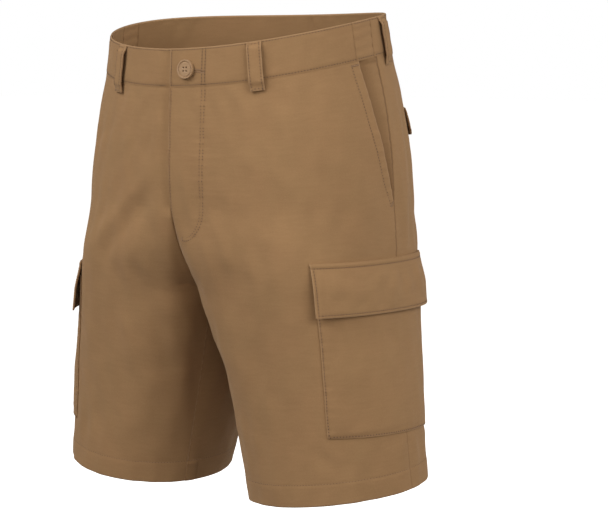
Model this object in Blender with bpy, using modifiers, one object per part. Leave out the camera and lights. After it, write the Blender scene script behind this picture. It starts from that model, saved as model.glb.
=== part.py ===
"""Cargo shorts, filled out as if worn: cloth panels, waistband, loops, pockets, flaps and a button.

Metres. +Z is up, +X is the wearer's left and -Y is the front. The origin is the middle of the
waist opening. A place on the cloth is given by its depth below the waist and by its distance
round the leg from the side line, which is negative towards the front.
"""

import functools
import math

import bmesh
import bpy
import numpy as np
from mathutils import Vector

COLLECTION = "cargo_shorts"

# Cloth
WALL = 0.0013            # twill with its seam allowances
BAND_WALL = 0.0022       # waistband, folded double
FLAP_WALL = 0.0016       # pocket flaps, two layers turned out
SEAM = 0.0003            # gap between neighbouring pieces
SLIDE = 0.0004           # more room where one layer runs under another
ON_CLOTH = 0.0009        # gap under a piece that lies on a panel

# Main heights, as depths below the waist
BAND_END = 0.0390
CROTCH = 0.2620
CROTCH_Y = -0.0550          # the fronts are cut narrower there than the backs
HEM = 0.4700
FRONT_RISE_START = 0.1200   # where the front seam starts to turn under
FRONT_RISE_POWER = 2.0      # roundness of that turn
BACK_RISE_START = 0.1050    # where the seat seam starts to turn under
BACK_RISE_POWER = 2.5
JOINED_UNTIL = 0.1700       # from here to the crotch the torso's outline parts into the legs'
MEETING_LENGTH = 0.0400     # below the crotch, where the legs draw apart
FLAT_WITHIN = 0.0060        # the two legs lie flat against each other this near the middle
MIDDLE_ZONE = math.radians(48)   # of the half section, that turns under with the middle seam

# Level sections. depth; torso half width and its depth to the front and back; where the leg
# starts beside the middle; half the leg's depth and its centre; the leg's turn, its inseam and
# its side seam in degrees; slopes to the back and outwards; rise at the sides; corner powers,
# and the leg's towards the inside.
SECTION_COLUMNS = ("depth", "half_width", "front", "back", "inner", "leg_deep", "leg_y", "turn",
                   "inseam", "side", "to_back", "to_side", "lift", "square", "leg_square")
SECTIONS = (
    (0.000, 0.1600, 0.1180, 0.1150, 0.0002, 0.118, 0.0000, 0, 0, 5.0, 0.167, 0.000, 0.010, 2.05, 2.7),
    (0.039, 0.1655, 0.1195, 0.1210, 0.0002, 0.119, 0.0000, 0, 0, 5.5, 0.167, 0.000, 0.010, 2.10, 2.7),
    (0.080, 0.1730, 0.1215, 0.1310, 0.0002, 0.120, 0.0000, 0, 0, 8.0, 0.130, 0.000, 0.006, 2.20, 2.7),
    (0.130, 0.1805, 0.1230, 0.1390, 0.0002, 0.121, 0.0000, 0, 0, 9.0, 0.080, 0.000, 0.002, 2.30, 2.7),
    (0.180, 0.1845, 0.1240, 0.1410, 0.0002, 0.120, 0.0000, 0, 0, 9.0, 0.040, 0.000, 0.000, 2.35, 2.7),
    (0.230, 0.1865, 0.1250, 0.1390, 0.0002, 0.116, 0.0000, 0, 0, 9.0, 0.010, 0.000, 0.000, 2.35, 3.1),
    (0.262, 0.1890, 0.1260, 0.1360, 0.0002, 0.112, 0.0000, 0, 30, 8.0, 0.000, 0.010, 0.000, 2.35, 3.4),
    (0.310, 0.1935, 0.1260, 0.1360, 0.0065, 0.107, 0.0000, 3, 30, 6.0, 0.010, 0.030, 0.000, 2.35, 3.0),
    (0.350, 0.2010, 0.1260, 0.1360, 0.0150, 0.101, -0.0020, 7, 28, 3.5, 0.030, 0.050, 0.000, 2.30, 2.5),
    (0.410, 0.2140, 0.1260, 0.1360, 0.0260, 0.092, -0.0065, 11, 26, 1.0, 0.055, 0.078, 0.000, 2.15, 2.2),
    (0.470, 0.2240, 0.1260, 0.1360, 0.0380, 0.087, -0.0096, 16, 25, 1.5, 0.076, 0.103, 0.000, 2.00, 2.0),
)

# Largest folds, as soft ridges (+) and troughs (-) along straight lines on the cloth.
# wearer's side (+1 left, -1 right); depth and distance at both ends; half breadth; height.
FOLD_COLUMNS = ("side", "depth_a", "along_a", "depth_b", "along_b", "breadth", "height")
FOLDS = (
    (-1, 0.115, -0.254, 0.245, -0.139, 0.013, 0.0030),
    (-1, 0.140, -0.256, 0.252, -0.154, 0.011, -0.0032),
    (-1, 0.155, -0.264, 0.290, -0.170, 0.013, 0.0028),
    (-1, 0.235, -0.262, 0.345, -0.250, 0.014, 0.0022),
    (-1, 0.265, -0.215, 0.360, -0.226, 0.014, -0.0022),
    (-1, 0.330, -0.190, 0.440, -0.140, 0.016, -0.0016),
    (1, 0.190, -0.214, 0.256, -0.122, 0.014, -0.0028),
    (1, 0.200, -0.250, 0.385, -0.190, 0.018, 0.0028),
    (1, 0.285, -0.252, 0.400, -0.222, 0.016, -0.0016),
    (1, 0.095, 0.022, 0.228, 0.028, 0.009, 0.0026),
    (1, 0.105, 0.041, 0.228, 0.047, 0.009, -0.0024),
    (-1, 0.100, 0.024, 0.222, 0.030, 0.009, 0.0022),
    (-1, 0.115, 0.042, 0.222, 0.048, 0.009, -0.0022),
    (1, 0.190, 0.235, 0.262, 0.115, 0.014, -0.0026),
    (1, 0.215, 0.250, 0.295, 0.140, 0.014, 0.0024),
    (-1, 0.185, 0.240, 0.268, 0.125, 0.014, -0.0028),
    (-1, 0.220, 0.250, 0.305, 0.150, 0.015, 0.0024),
    (1, 0.320, 0.200, 0.440, 0.130, 0.016, -0.0018),
    (-1, 0.315, 0.205, 0.430, 0.120, 0.017, -0.0018),
)

FOLD_FADE = 0.0240       # folds run out this far from the middle seams

# Fly
FLY_END = 0.1500
FLY_SOFTEN = 0.0140      # how far below its end the lap runs out, and then the sinking
FLY_LEVEL = 0.0040       # the under side is fully sunk this far before the middle
FLY_RAMP = 0.0120

# The right front's first columns: past the middle where it laps under the left one, and below
FLY_COLUMNS = ((-0.0080, 0.0000), (-0.0040, 0.0020), (0.0000, 0.0040), (0.0040, 0.0060),
               (0.0095, 0.0105))

# Waistband
BAND_PROUD = 0.0006      # the doubled band stands a little off the panels' face
BAND_FRONT = 0.2000      # nominal length of its front part, for placing the columns
BAND_LAP = 0.0350        # its under end, behind the button

# Slant pocket: its mouth runs from the band towards the side seam
MOUTH_START = -0.0280
MOUTH_END_DEPTH = 0.1780
MOUTH_CURVE = 1.5
MOUTH_LIP = 0.0011       # how far its edge stands off the facing
MOUTH_LIP_SPREAD = 0.0140
FACING_UNDER = 0.0140    # how far the facing runs under the front
FACING_BELOW = 0.0120    # and below the mouth's end
FACING_RAMP = 0.0080
FACING_LEVEL = 0.0020    # it starts to come up this far past the mouth

# Waistband side inserts, between two seams on each side
INSERT_FRONT = -0.0310
INSERT_BACK = -0.0040

# Belt loops, left and right: distance from centre front as a share of the half waist
LOOP_SHARES = {"front": (0.218, 0.178), "side": (0.563, 0.563), "back": (0.815, 0.815)}
LOOP_WIDTH = 0.0145
LOOP_TOP = 0.0006
LOOP_END = 0.0500
LOOP_SLOT = 0.0034       # room for a belt
LOOP_WALL = 0.0016

# A loop from its top to its end: share of the way down, share of the slot it stands off
LOOP_PROFILE = ((0.0, 0.0), (0.07, 0.3), (0.16, 1.0), (0.5, 1.06), (0.80, 1.0), (0.91, 0.3), (1.0, 0.0))

# Cargo pocket, patch and flap, as distances from the side line
CARGO_FRONT_TOP = -0.1100
CARGO_FRONT_LOW = -0.0920
CARGO_WIDTH = 0.1780
CARGO_TOP = 0.2470
CARGO_END = 0.4045
CARGO_DROP = 0.0125      # the bottom edge is lower towards the back
CARGO_BILLOW = 0.0022    # how full it stands off the leg
FLAP_TOP = 0.2300
FLAP_END = 0.2860
FLAP_OVERHANG = 0.0020
FLAP_LIFT = 0.0042       # how far the flap stands off the cloth where it passes the patch
FLAP_GAPE = 0.0030       # what its free edge adds
FLAP_STEP = 0.0240       # the flap has risen to its lift this far below its top
FLAP_ROWS = (0.0, 0.12, 0.30, 0.6, 1.0)
RIGHT_LOWER = 0.0180     # the right cargo pocket hangs this much lower than the left one

# Back pocket flap
BACK_FLAP_START = 0.0590
BACK_FLAP_WIDTH = 0.1360
BACK_FLAP_TOP = 0.0940
BACK_FLAP_END = 0.1205
BACK_FLAP_GAPE = 0.0015
BACK_FLAP_CLIP = 0.0060  # how much shorter it is at its clipped corners

# Button
BUTTON_FROM_MIDDLE = 0.0225
BUTTON_DEPTH = 0.0212
BUTTON_RADIUS = 0.0094
BUTTON_THICK = 0.0030
BUTTON_RIM = 0.0018
BUTTON_DISH = 0.0008
BUTTON_CHAMFER = 0.0009
BUTTON_HOLE = 0.0009
BUTTON_HOLES_OUT = 0.0024    # from its middle to each hole

# Mesh
RING_STEPS = 96          # steps of a worked-out section, front to side and side to back
RISE_ROWS = 15
LEG_ROWS = 13
PANEL_COLUMNS = 17
PANEL_WIDTH = 0.2500     # nominal, for placing the edge strips
EDGE_STRIP = 0.0030      # narrow first column beside a seam

TWILL = (0.342, 0.194, 0.094)
BAND_TWILL = (0.325, 0.182, 0.087)
HORN = (0.395, 0.235, 0.120)


# ---- The form of the cloth -------------------------------------------------------------------

def monotone(xs, ys, x):
    """Smooth value at x through the rows of a column, with no overshoot between them."""
    steps = np.diff(xs)
    slopes = np.diff(ys) / steps
    tangents = np.zeros(len(xs))
    tangents[0] = slopes[0]
    tangents[-1] = slopes[-1]
    for i in range(1, len(xs) - 1):
        if slopes[i - 1] * slopes[i] > 0:
            before = 2 * steps[i] + steps[i - 1]
            after = steps[i] + 2 * steps[i - 1]
            tangents[i] = (before + after) / (before / slopes[i - 1] + after / slopes[i])
    x = min(max(x, xs[0]), xs[-1])
    i = min(max(int(np.searchsorted(xs, x)) - 1, 0), len(steps) - 1)
    u = (x - xs[i]) / steps[i]
    start = (2 * u**3 - 3 * u**2 + 1) * ys[i] + (u**3 - 2 * u**2 + u) * steps[i] * tangents[i]
    end = (3 * u**2 - 2 * u**3) * ys[i + 1] + (u**3 - u**2) * steps[i] * tangents[i + 1]
    return float(start + end)


COLUMNS = {name: np.array([row[i] for row in SECTIONS], float)
           for i, name in enumerate(SECTION_COLUMNS)}


@functools.lru_cache(maxsize=None)
def sizes(depth):
    """The section's sizes at a depth."""
    return {name: monotone(COLUMNS["depth"], values, depth)
            for name, values in COLUMNS.items() if name != "depth"}


def smooth(x):
    """0 to 1 with soft ends."""
    x = min(max(x, 0.0), 1.0)
    return x * x * (3 - 2 * x)


def soft_steps(values):
    values = np.clip(values, 0.0, 1.0)
    return values**2 * (3 - 2 * values)


def signed_power(values, power):
    return np.sign(values) * np.abs(values) ** power


def rise_share(depth, towards):
    """How far out the middle seam still lies, from 1 down to 0 at the crotch."""
    start = FRONT_RISE_START if towards < 0 else BACK_RISE_START
    power = FRONT_RISE_POWER if towards < 0 else BACK_RISE_POWER
    share = min(max((depth - start) / (CROTCH - start), 0.0), 1.0)
    return (1 - share**power) ** (1 / power)


def polar(x, y, centre, centre_y):
    """Directions and distances of outline points about the leg's centre, by direction."""
    direction = np.unwrap(np.arctan2(y - centre_y, x - centre))
    distance = np.hypot(x - centre, y - centre_y)
    if direction[0] > 0:
        direction -= 2 * math.pi
    return direction, distance


def torso_outline(size, centre, centre_y):
    """The torso's half section, from centre front to centre back."""
    angle = np.linspace(0, math.pi, 4 * RING_STEPS)
    power = 2 / size["square"]
    to_front = np.where(np.cos(angle) > 0, size["front"], size["back"])
    x = SEAM / 2 + size["half_width"] * signed_power(np.sin(angle), power)
    y = -to_front * signed_power(np.cos(angle), power)
    return polar(x, y, centre, centre_y)


def leg_outline(size, half, centre, centre_y):
    """The leg's whole section, twice round so that any direction can be read from it."""
    angle = np.linspace(-math.pi, 3 * math.pi, 16 * RING_STEPS)
    power = 2 / np.where(np.cos(angle) > 0, size["leg_square"], size["square"])
    across = -half * signed_power(np.cos(angle), power)
    deep = -size["leg_deep"] * signed_power(np.sin(angle), power)
    turn = math.radians(size["turn"])
    x = centre + across * math.cos(turn) - deep * math.sin(turn)
    y = centre_y + across * math.sin(turn) + deep * math.cos(turn)
    return polar(x, y, centre, centre_y)


@functools.lru_cache(maxsize=None)
def ring(depth):
    """The wearer's left half of the level section: points from centre front, or the inseam,
    over the side line to the back, with their distances from the side line."""
    size = sizes(depth)
    half = (size["half_width"] - size["inner"]) / 2
    centre = (size["half_width"] + size["inner"]) / 2
    centre_y = size["leg_y"]

    inseam = math.radians(size["inseam"])
    start = inseam - math.pi
    end = inseam + math.pi
    gap = SEAM / 2
    front_y = CROTCH_Y - (size["front"] + CROTCH_Y) * rise_share(depth, -1)
    back_y = CROTCH_Y + (size["back"] - CROTCH_Y) * rise_share(depth, 1)
    if depth < CROTCH:
        start = math.atan2(front_y - centre_y, gap - centre)
        start -= 2 * math.pi if start > 0 else 0
        end = math.atan2(back_y - centre_y, gap - centre)
        end += 2 * math.pi if end < 0 else 0
    step = np.linspace(0, 1, RING_STEPS + 1)
    side = math.radians(size["side"])
    direction = np.concatenate([start + step * (side - start), side + step[1:] * (end - side)])

    distance = np.interp(direction, *leg_outline(size, half, centre, centre_y))
    if depth < CROTCH:
        torso = np.interp(direction, *torso_outline(size, centre, centre_y))
        joined = 1 - smooth((depth - JOINED_UNTIL) / (CROTCH - JOINED_UNTIL))
        distance += joined * (torso - distance)
        start_off = math.hypot(gap - centre, front_y - centre_y) - distance[0]
        end_off = math.hypot(gap - centre, back_y - centre_y) - distance[-1]
    else:
        meeting = (centre - size["inner"]) / math.cos(inseam) - distance[0]
        start_off = end_off = meeting * (1 - smooth((depth - CROTCH) / MEETING_LENGTH))
    distance += start_off * (1 - soft_steps((direction - start) / MIDDLE_ZONE))
    distance += end_off * (1 - soft_steps((end - direction) / MIDDLE_ZONE))

    x = centre + distance * np.cos(direction)
    y = centre_y + distance * np.sin(direction)
    off_middle = np.maximum(x - gap, 0.0)
    x = gap + off_middle * soft_steps(off_middle / FLAT_WITHIN)
    z = (-depth + size["to_back"] * y + size["to_side"] * (x - centre)
         + size["lift"] * (x / size["half_width"]) ** 2)
    points = np.stack([x, y, z], axis=1)
    lengths = np.linalg.norm(np.diff(points, axis=0), axis=1)
    distance = np.concatenate([[0.0], np.cumsum(lengths)])
    return points, distance - distance[RING_STEPS]


def reach(depth, towards):
    """Distance from the side line to the middle or the inseam; towards is -1 front, +1 back."""
    return abs(ring(depth)[1][0 if towards < 0 else -1])


def on_ring(depth, share):
    """Point at a share of the way from the side line (0) to the front (-1) or back (+1)."""
    points, distance = ring(depth)
    along = share * reach(depth, share)
    return np.array([np.interp(along, distance, points[:, axis]) for axis in range(3)])


def outward(depth, share):
    """Unit normal of the cloth there."""
    step = 0.004
    share = min(max(share, -1 + step), 1 - step)
    depth = min(max(depth, 0.001), HEM - 0.001)
    along = on_ring(depth, share + step) - on_ring(depth, share - step)
    down = on_ring(depth + 0.001, share) - on_ring(depth - 0.001, share)
    normal = np.cross(down, along)
    return normal / np.linalg.norm(normal)


def fold_height(side, depth, along):
    """Height of the folds at a place on the cloth."""
    total = 0.0
    fade = smooth((reach(depth, along) - abs(along)) / FOLD_FADE)
    for row in FOLDS:
        fold = dict(zip(FOLD_COLUMNS, row))
        if fold["side"] != side:
            continue
        run = Vector((fold["depth_b"] - fold["depth_a"], fold["along_b"] - fold["along_a"]))
        away = Vector((depth - fold["depth_a"], along - fold["along_a"]))
        share = away.dot(run) / run.length_squared
        if not 0 < share < 1:
            continue
        off = (away - run * share).length / fold["breadth"]
        if off < 2:
            total += fold["height"] * math.sin(math.pi * share) * math.cos(math.pi * off / 4) ** 2
    return total * fade


def spot(side, depth, along, out=0.0):
    """World point on the cloth's outer face, out metres off it. Past centre front the place
    runs on over the other half."""
    half = reach(depth, along)
    if abs(along) > half and depth < CROTCH:
        return spot(-side, depth, math.copysign(2 * half - abs(along), along), out)
    share = along / half
    rise = out + fold_height(side, depth, along)
    point = on_ring(depth, share) + rise * outward(depth, share)
    return Vector((side * point[0], point[1], point[2]))


# ---- Making cloth pieces ---------------------------------------------------------------------

def material(name, colour, roughness):
    """Plain Principled finish."""
    made = bpy.data.materials.new(name)
    made.use_nodes = True
    shader = made.node_tree.nodes["Principled BSDF"]
    shader.inputs["Base Color"].default_value = (*colour, 1.0)
    shader.inputs["Roughness"].default_value = roughness
    shader.inputs["Metallic"].default_value = 0.0
    return made


def add_object(name, graph, colour=TWILL, roughness=0.86):
    """Turn a bmesh into a named object of the shorts."""
    mesh = bpy.data.meshes.new(name)
    graph.to_mesh(mesh)
    graph.free()
    mesh.shade_smooth()
    mesh.materials.append(material(name, colour, roughness))
    made = bpy.data.objects.new(name, mesh)
    bpy.data.collections[COLLECTION].objects.link(made)
    return made


def cloth(name, side, across, down, place, wall=WALL, colour=TWILL):
    """A cloth piece: a grid whose points go to place(across, down), thickened inwards."""
    graph = bmesh.new()
    columns = len(across) - 1
    rows = len(down) - 1
    bmesh.ops.create_grid(graph, x_segments=columns, y_segments=rows, size=0.5)
    for point in graph.verts:
        column = round((point.co.x + 0.5) * columns)
        row = round((0.5 - point.co.y) * rows)
        point.co = place(across[column], down[row])
    if side < 0:
        bmesh.ops.reverse_faces(graph, faces=graph.faces)
    made = add_object(name, graph, colour)
    solid = made.modifiers.new("wall", "SOLIDIFY")
    solid.thickness = wall
    solid.offset = -1.0
    return made


def even(start, end, steps):
    return [start + (end - start) * i / steps for i in range(steps + 1)]


def with_edge_strips(steps, width):
    """Even shares from 0 to 1 with one narrow strip at each end."""
    strip = EDGE_STRIP / width
    return [0.0, strip] + even(0, 1, steps)[1:-1] + [1 - strip, 1.0]


# ---- Fronts and backs ------------------------------------------------------------------------

@functools.lru_cache(maxsize=None)
def rise_depths(towards):
    """Depths of the rows along the middle seam, evenly spaced along its curve."""
    top = BAND_END + SEAM / 2
    depths = top + (CROTCH - top) * np.sin(np.linspace(0, math.pi / 2, 200))
    points = []
    for depth in depths:
        size = sizes(float(depth))
        deep = size["front"] + CROTCH_Y if towards < 0 else size["back"] - CROTCH_Y
        points.append((deep * rise_share(float(depth), towards), depth))
    steps = np.linalg.norm(np.diff(np.array(points), axis=0), axis=1)
    length = np.concatenate([[0.0], np.cumsum(steps)])
    return np.interp(np.linspace(0, length[-1], RISE_ROWS + 1), length, depths)


def row_depth(row, share, towards):
    """Depth of a panel's row: level at the side, following the curved rise at the middle."""
    top = BAND_END + SEAM / 2
    if row > RISE_ROWS:
        return CROTCH + (HEM - CROTCH) * (row - RISE_ROWS) / LEG_ROWS
    level = top + (CROTCH - top) * row / RISE_ROWS
    return level + (float(rise_depths(towards)[row]) - level) * smooth(share)


def row_reach(row, towards):
    """Distance from the side line to the middle seam or inseam at the end of a panel's row."""
    length = reach(row_depth(row, 1.0, towards), towards)
    return length if row < RISE_ROWS else length - SEAM / 2


def mouth(depth):
    """The slant pocket's edge, as distance from the side line."""
    share = (depth - BAND_END) / (MOUTH_END_DEPTH - BAND_END)
    return MOUTH_START * (1 - max(share, 0.0) ** MOUTH_CURVE)


def front_edge(depth):
    """Outer edge of the front: the pocket mouth, then the side seam."""
    if depth < MOUTH_END_DEPTH:
        return mouth(depth) - SEAM
    return -SEAM / 2


def mouth_lip(depth, along):
    """The pocket's edge stands a little off the facing."""
    if not BAND_END < depth < MOUTH_END_DEPTH:
        return 0.0
    share = (depth - BAND_END) / (MOUTH_END_DEPTH - BAND_END)
    near = (mouth(depth) - along) / MOUTH_LIP_SPREAD
    return MOUTH_LIP * math.sin(math.pi * share) * math.exp(-near * near)


def fly_lap(depth):
    """1 where the right front laps under the left one, 0 below the fly."""
    return 1 - smooth((depth - FLY_END) / FLY_SOFTEN)


def under_share(from_middle):
    """1 where the right side is fully sunk under the left one, 0 where it is level."""
    return 1 - smooth((from_middle - FLY_LEVEL) / FLY_RAMP)


def fly_sink(depth, from_middle):
    """How far the right front sinks under the left one beside centre front."""
    fade = 1 - smooth((depth - FLY_END - 2 * FLY_SOFTEN) / FLY_SOFTEN)
    return -(WALL + SEAM + SLIDE) * fade * under_share(from_middle)


def front(side):
    """Left front laps over the right one down the fly."""
    rows = range(RISE_ROWS + LEG_ROWS + 1)
    shares = with_edge_strips(PANEL_COLUMNS, PANEL_WIDTH)
    if side < 0:
        shares = list(range(-len(FLY_COLUMNS), 0)) + shares[2:]

    def place(share, row):
        from_fly = max(share, 0.0)
        depth = row_depth(row, 1 - from_fly, -1)
        inner = -row_reach(row, -1)
        along = inner + (front_edge(depth) - inner) * from_fly
        if share < 0:
            lapped, plain = FLY_COLUMNS[share]
            along += plain + (lapped - plain) * fly_lap(depth)
        out = mouth_lip(depth, along)
        if side < 0:
            out += fly_sink(depth, along + reach(depth, -1))
        return spot(side, depth, along, out)

    name = "front_left" if side > 0 else "front_right"
    return cloth(name, side, shares, rows, place)


def back(side):
    rows = range(RISE_ROWS + LEG_ROWS + 1)
    shares = with_edge_strips(PANEL_COLUMNS, PANEL_WIDTH)

    def place(share, row):
        depth = row_depth(row, share, 1)
        start = SEAM / 2
        return spot(side, depth, start + (row_reach(row, 1) - start) * share)

    return cloth("back_left" if side > 0 else "back_right", side, shares, rows, place)


def pocket_facing(side):
    """The cloth seen between the slant mouth and the side seam; it runs on under the front."""
    top = BAND_END + SEAM / 2
    end = MOUTH_END_DEPTH + FACING_BELOW

    def place(share, depth):
        edge = min(mouth(min(depth, MOUTH_END_DEPTH)), -SEAM)
        start = edge - FACING_UNDER
        along = start + (-SEAM / 2 - start) * share
        under = WALL + SEAM + SLIDE
        shown = smooth((along - edge - FACING_LEVEL) / FACING_RAMP)
        return spot(side, depth, along, -under * (1 - shown))

    name = "pocket_facing_left" if side > 0 else "pocket_facing_right"
    return cloth(name, side, even(0, 1, 7), even(top, end, 9), place)


# ---- Waistband and loops ---------------------------------------------------------------------

def band_rows():
    return even(0.0, BAND_END - SEAM / 2, 3)


def waistband_front(side):
    """From centre front to the insert. The right one runs on behind the left as its under end."""

    def place(share, depth):
        inner = -reach(depth, -1)
        if side < 0:
            inner -= BAND_LAP
        along = inner + (INSERT_FRONT - SEAM / 2 - inner) * share
        out = BAND_PROUD
        if side < 0:
            out -= (BAND_WALL + SEAM + SLIDE) * under_share(along + reach(depth, -1))
        return spot(side, depth, along, out)

    name = "waistband_front_left" if side > 0 else "waistband_front_right"
    shares = with_edge_strips(13, BAND_FRONT)
    if side < 0:
        lap = BAND_LAP / (BAND_LAP + BAND_FRONT)
        ramp = lap + (FLY_LEVEL + FLY_RAMP) / (BAND_LAP + BAND_FRONT)
        shares = even(0, lap, 4) + even(lap, ramp, 5)[1:] + even(ramp, 1, 11)[1:]
    return cloth(name, side, shares, band_rows(), place, BAND_WALL, BAND_TWILL)


def waistband_insert(side):
    """Short gathered piece over the side seam."""

    def place(share, depth):
        start = INSERT_FRONT + SEAM / 2
        along = start + (INSERT_BACK - SEAM / 2 - start) * share
        return spot(side, depth, along, BAND_PROUD)

    name = "waistband_side_left" if side > 0 else "waistband_side_right"
    return cloth(name, side, even(0, 1, 4), band_rows(), place, BAND_WALL, BAND_TWILL)


def waistband_back():
    """One piece round the back, from the left insert to the right one."""
    half = [0.0, 0.02] + even(0, 1, 12)[1:]
    shares = half + [2 - share for share in reversed(half[:-1])]

    def place(share, depth):
        side = 1 if share <= 1 else -1
        share = share if share <= 1 else 2 - share
        start = INSERT_BACK + SEAM / 2
        along = start + (reach(depth, 1) - start) * share
        point = spot(side, depth, along, BAND_PROUD)
        if share == 1:
            point.x = 0.0
        return point

    return cloth("waistband_back", 1, shares, band_rows(), place, BAND_WALL, BAND_TWILL)


def loop_place(share, depth):
    """Distance from the side line of a loop's centre, from its share of the half waist."""
    front_reach = reach(depth, -1)
    return share * (front_reach + reach(depth, 1)) - front_reach


def belt_loop(name, side, share):
    """A strip sewn at the band's top and just below it, standing off between for a belt."""

    def place(across, row):
        down, lift = LOOP_PROFILE[row]
        depth = LOOP_TOP + (LOOP_END - LOOP_TOP) * down
        along = loop_place(share, depth) + (across - 0.5) * LOOP_WIDTH
        seat = BAND_PROUD + SLIDE + LOOP_WALL
        return spot(side, depth, along, seat + (LOOP_SLOT - SLIDE) * lift)

    return cloth(name, side, even(0, 1, 2), range(len(LOOP_PROFILE)), place, LOOP_WALL)


def belt_loops():
    for side, word in ((1, "left"), (-1, "right")):
        for where, (left, right) in LOOP_SHARES.items():
            belt_loop("belt_loop_" + where + "_" + word, side, left if side > 0 else right)


# ---- Pockets and flaps -----------------------------------------------------------------------

def cargo_front(depth):
    """The cargo pocket's front edge."""
    share = (depth - FLAP_TOP) / (CARGO_END - FLAP_TOP)
    return CARGO_FRONT_TOP + (CARGO_FRONT_LOW - CARGO_FRONT_TOP) * share


def cargo_patch(side):
    """Patch sewn on three edges, full in its middle, open at the top under the flap."""
    lower = RIGHT_LOWER if side < 0 else 0.0

    def place(across, down):
        depth = CARGO_TOP + (CARGO_END + CARGO_DROP * across - CARGO_TOP) * down
        along = cargo_front(depth) + CARGO_WIDTH * across
        full = math.sin(math.pi * across) ** 0.7 * math.sin(math.pi * (0.25 + 0.75 * down))
        return spot(side, depth + lower, along, ON_CLOTH + WALL + CARGO_BILLOW * full)

    name = "cargo_pocket_left" if side > 0 else "cargo_pocket_right"
    return cloth(name, side, even(0, 1, 18), even(0, 1, 9), place)


def cargo_flap(side):
    """Flap sewn above the patch; its lower edge and front corner stand off."""
    lower = RIGHT_LOWER if side < 0 else 0.0

    def place(across, down):
        depth = FLAP_TOP + (FLAP_END - FLAP_TOP) * down
        width = CARGO_WIDTH + 2 * FLAP_OVERHANG
        along = cargo_front(depth) - FLAP_OVERHANG + width * across
        lift = FLAP_LIFT * smooth((depth - FLAP_TOP) / FLAP_STEP)
        corner = 0.55 + 0.45 * (2 * across - 1) ** 2
        lift += FLAP_GAPE * down**1.5 * corner
        return spot(side, depth + lower, along, ON_CLOTH + FLAP_WALL + lift)

    name = "cargo_flap_left" if side > 0 else "cargo_flap_right"
    return cloth(name, side, even(0, 1, 18), FLAP_ROWS, place, FLAP_WALL)


def back_flap(side):
    """Seat pocket flap with clipped lower corners; its lower edge stands off."""

    def place(across, down):
        end = BACK_FLAP_END - BACK_FLAP_CLIP * (2 * across - 1) ** 4
        depth = BACK_FLAP_TOP + (end - BACK_FLAP_TOP) * down
        along = BACK_FLAP_START + BACK_FLAP_WIDTH * across
        return spot(side, depth, along, ON_CLOTH + FLAP_WALL + BACK_FLAP_GAPE * down**1.5)

    name = "back_flap_left" if side > 0 else "back_flap_right"
    return cloth(name, side, even(0, 1, 10), even(0, 1, 4), place, FLAP_WALL)


# ---- Button ----------------------------------------------------------------------------------

def waist_button():
    """Turned four-hole button on the band's left end."""
    along = BUTTON_FROM_MIDDLE - reach(BUTTON_DEPTH, -1)
    share = along / reach(BUTTON_DEPTH, -1)
    centre = spot(1, BUTTON_DEPTH, along, BAND_PROUD + SEAM)
    facing = Vector(outward(BUTTON_DEPTH, share))
    turn = facing.to_track_quat("Z", "Y").to_matrix().to_4x4()

    profile = ((BUTTON_RADIUS - BUTTON_CHAMFER, 0.0),
               (BUTTON_RADIUS, BUTTON_CHAMFER),
               (BUTTON_RADIUS, BUTTON_THICK - BUTTON_CHAMFER),
               (BUTTON_RADIUS - BUTTON_CHAMFER / 2, BUTTON_THICK),
               (BUTTON_RADIUS - BUTTON_RIM / 2, BUTTON_THICK),
               (BUTTON_RADIUS - BUTTON_RIM, BUTTON_THICK - BUTTON_DISH))
    graph = bmesh.new()
    points = [graph.verts.new((radius, 0.0, height)) for radius, height in profile]
    edges = [graph.edges.new(pair) for pair in zip(points, points[1:])]
    bmesh.ops.spin(graph, geom=points + edges, cent=(0, 0, 0), axis=(0, 0, 1),
                   angle=2 * math.pi, steps=28)
    bmesh.ops.remove_doubles(graph, verts=graph.verts, dist=0.00001)
    bmesh.ops.holes_fill(graph, edges=graph.edges)
    bmesh.ops.recalc_face_normals(graph, faces=graph.faces)
    graph.transform(turn)
    bmesh.ops.translate(graph, verts=graph.verts, vec=centre)
    button = add_object("waist_button", graph, HORN, 0.38)

    for i in range(4):
        angle = math.radians(45 + 90 * i)
        place = BUTTON_HOLES_OUT * Vector((math.cos(angle), math.sin(angle), 0))
        graph = bmesh.new()
        bmesh.ops.create_cone(graph, cap_ends=True, segments=10, radius1=BUTTON_HOLE,
                              radius2=BUTTON_HOLE, depth=BUTTON_THICK * 3)
        bmesh.ops.translate(graph, verts=graph.verts, vec=place)
        graph.transform(turn)
        bmesh.ops.translate(graph, verts=graph.verts, vec=centre)
        add_cutter(button, "button_hole_" + str(i + 1), graph)


def add_cutter(target, name, graph):
    """A hidden shape that is cut out of its target."""
    mesh = bpy.data.meshes.new(name)
    graph.to_mesh(mesh)
    graph.free()
    cutter = bpy.data.objects.new(name, mesh)
    cutter.hide_render = True
    cutter.display_type = "WIRE"
    bpy.data.collections["cutters"].objects.link(cutter)
    cut = target.modifiers.new(name, "BOOLEAN")
    cut.operation = "DIFFERENCE"
    cut.object = cutter


# ---- The whole part --------------------------------------------------------------------------

def clear_scene():
    for old in list(bpy.data.objects):
        bpy.data.objects.remove(old, do_unlink=True)
    for name in (COLLECTION, "cutters"):
        made = bpy.data.collections.new(name)
        bpy.context.scene.collection.children.link(made)


def main():
    clear_scene()
    for side in (1, -1):
        front(side)
        back(side)
        pocket_facing(side)
        waistband_front(side)
        waistband_insert(side)
        cargo_patch(side)
        cargo_flap(side)
        back_flap(side)
    waistband_back()
    belt_loops()
    waist_button()


main()
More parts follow.
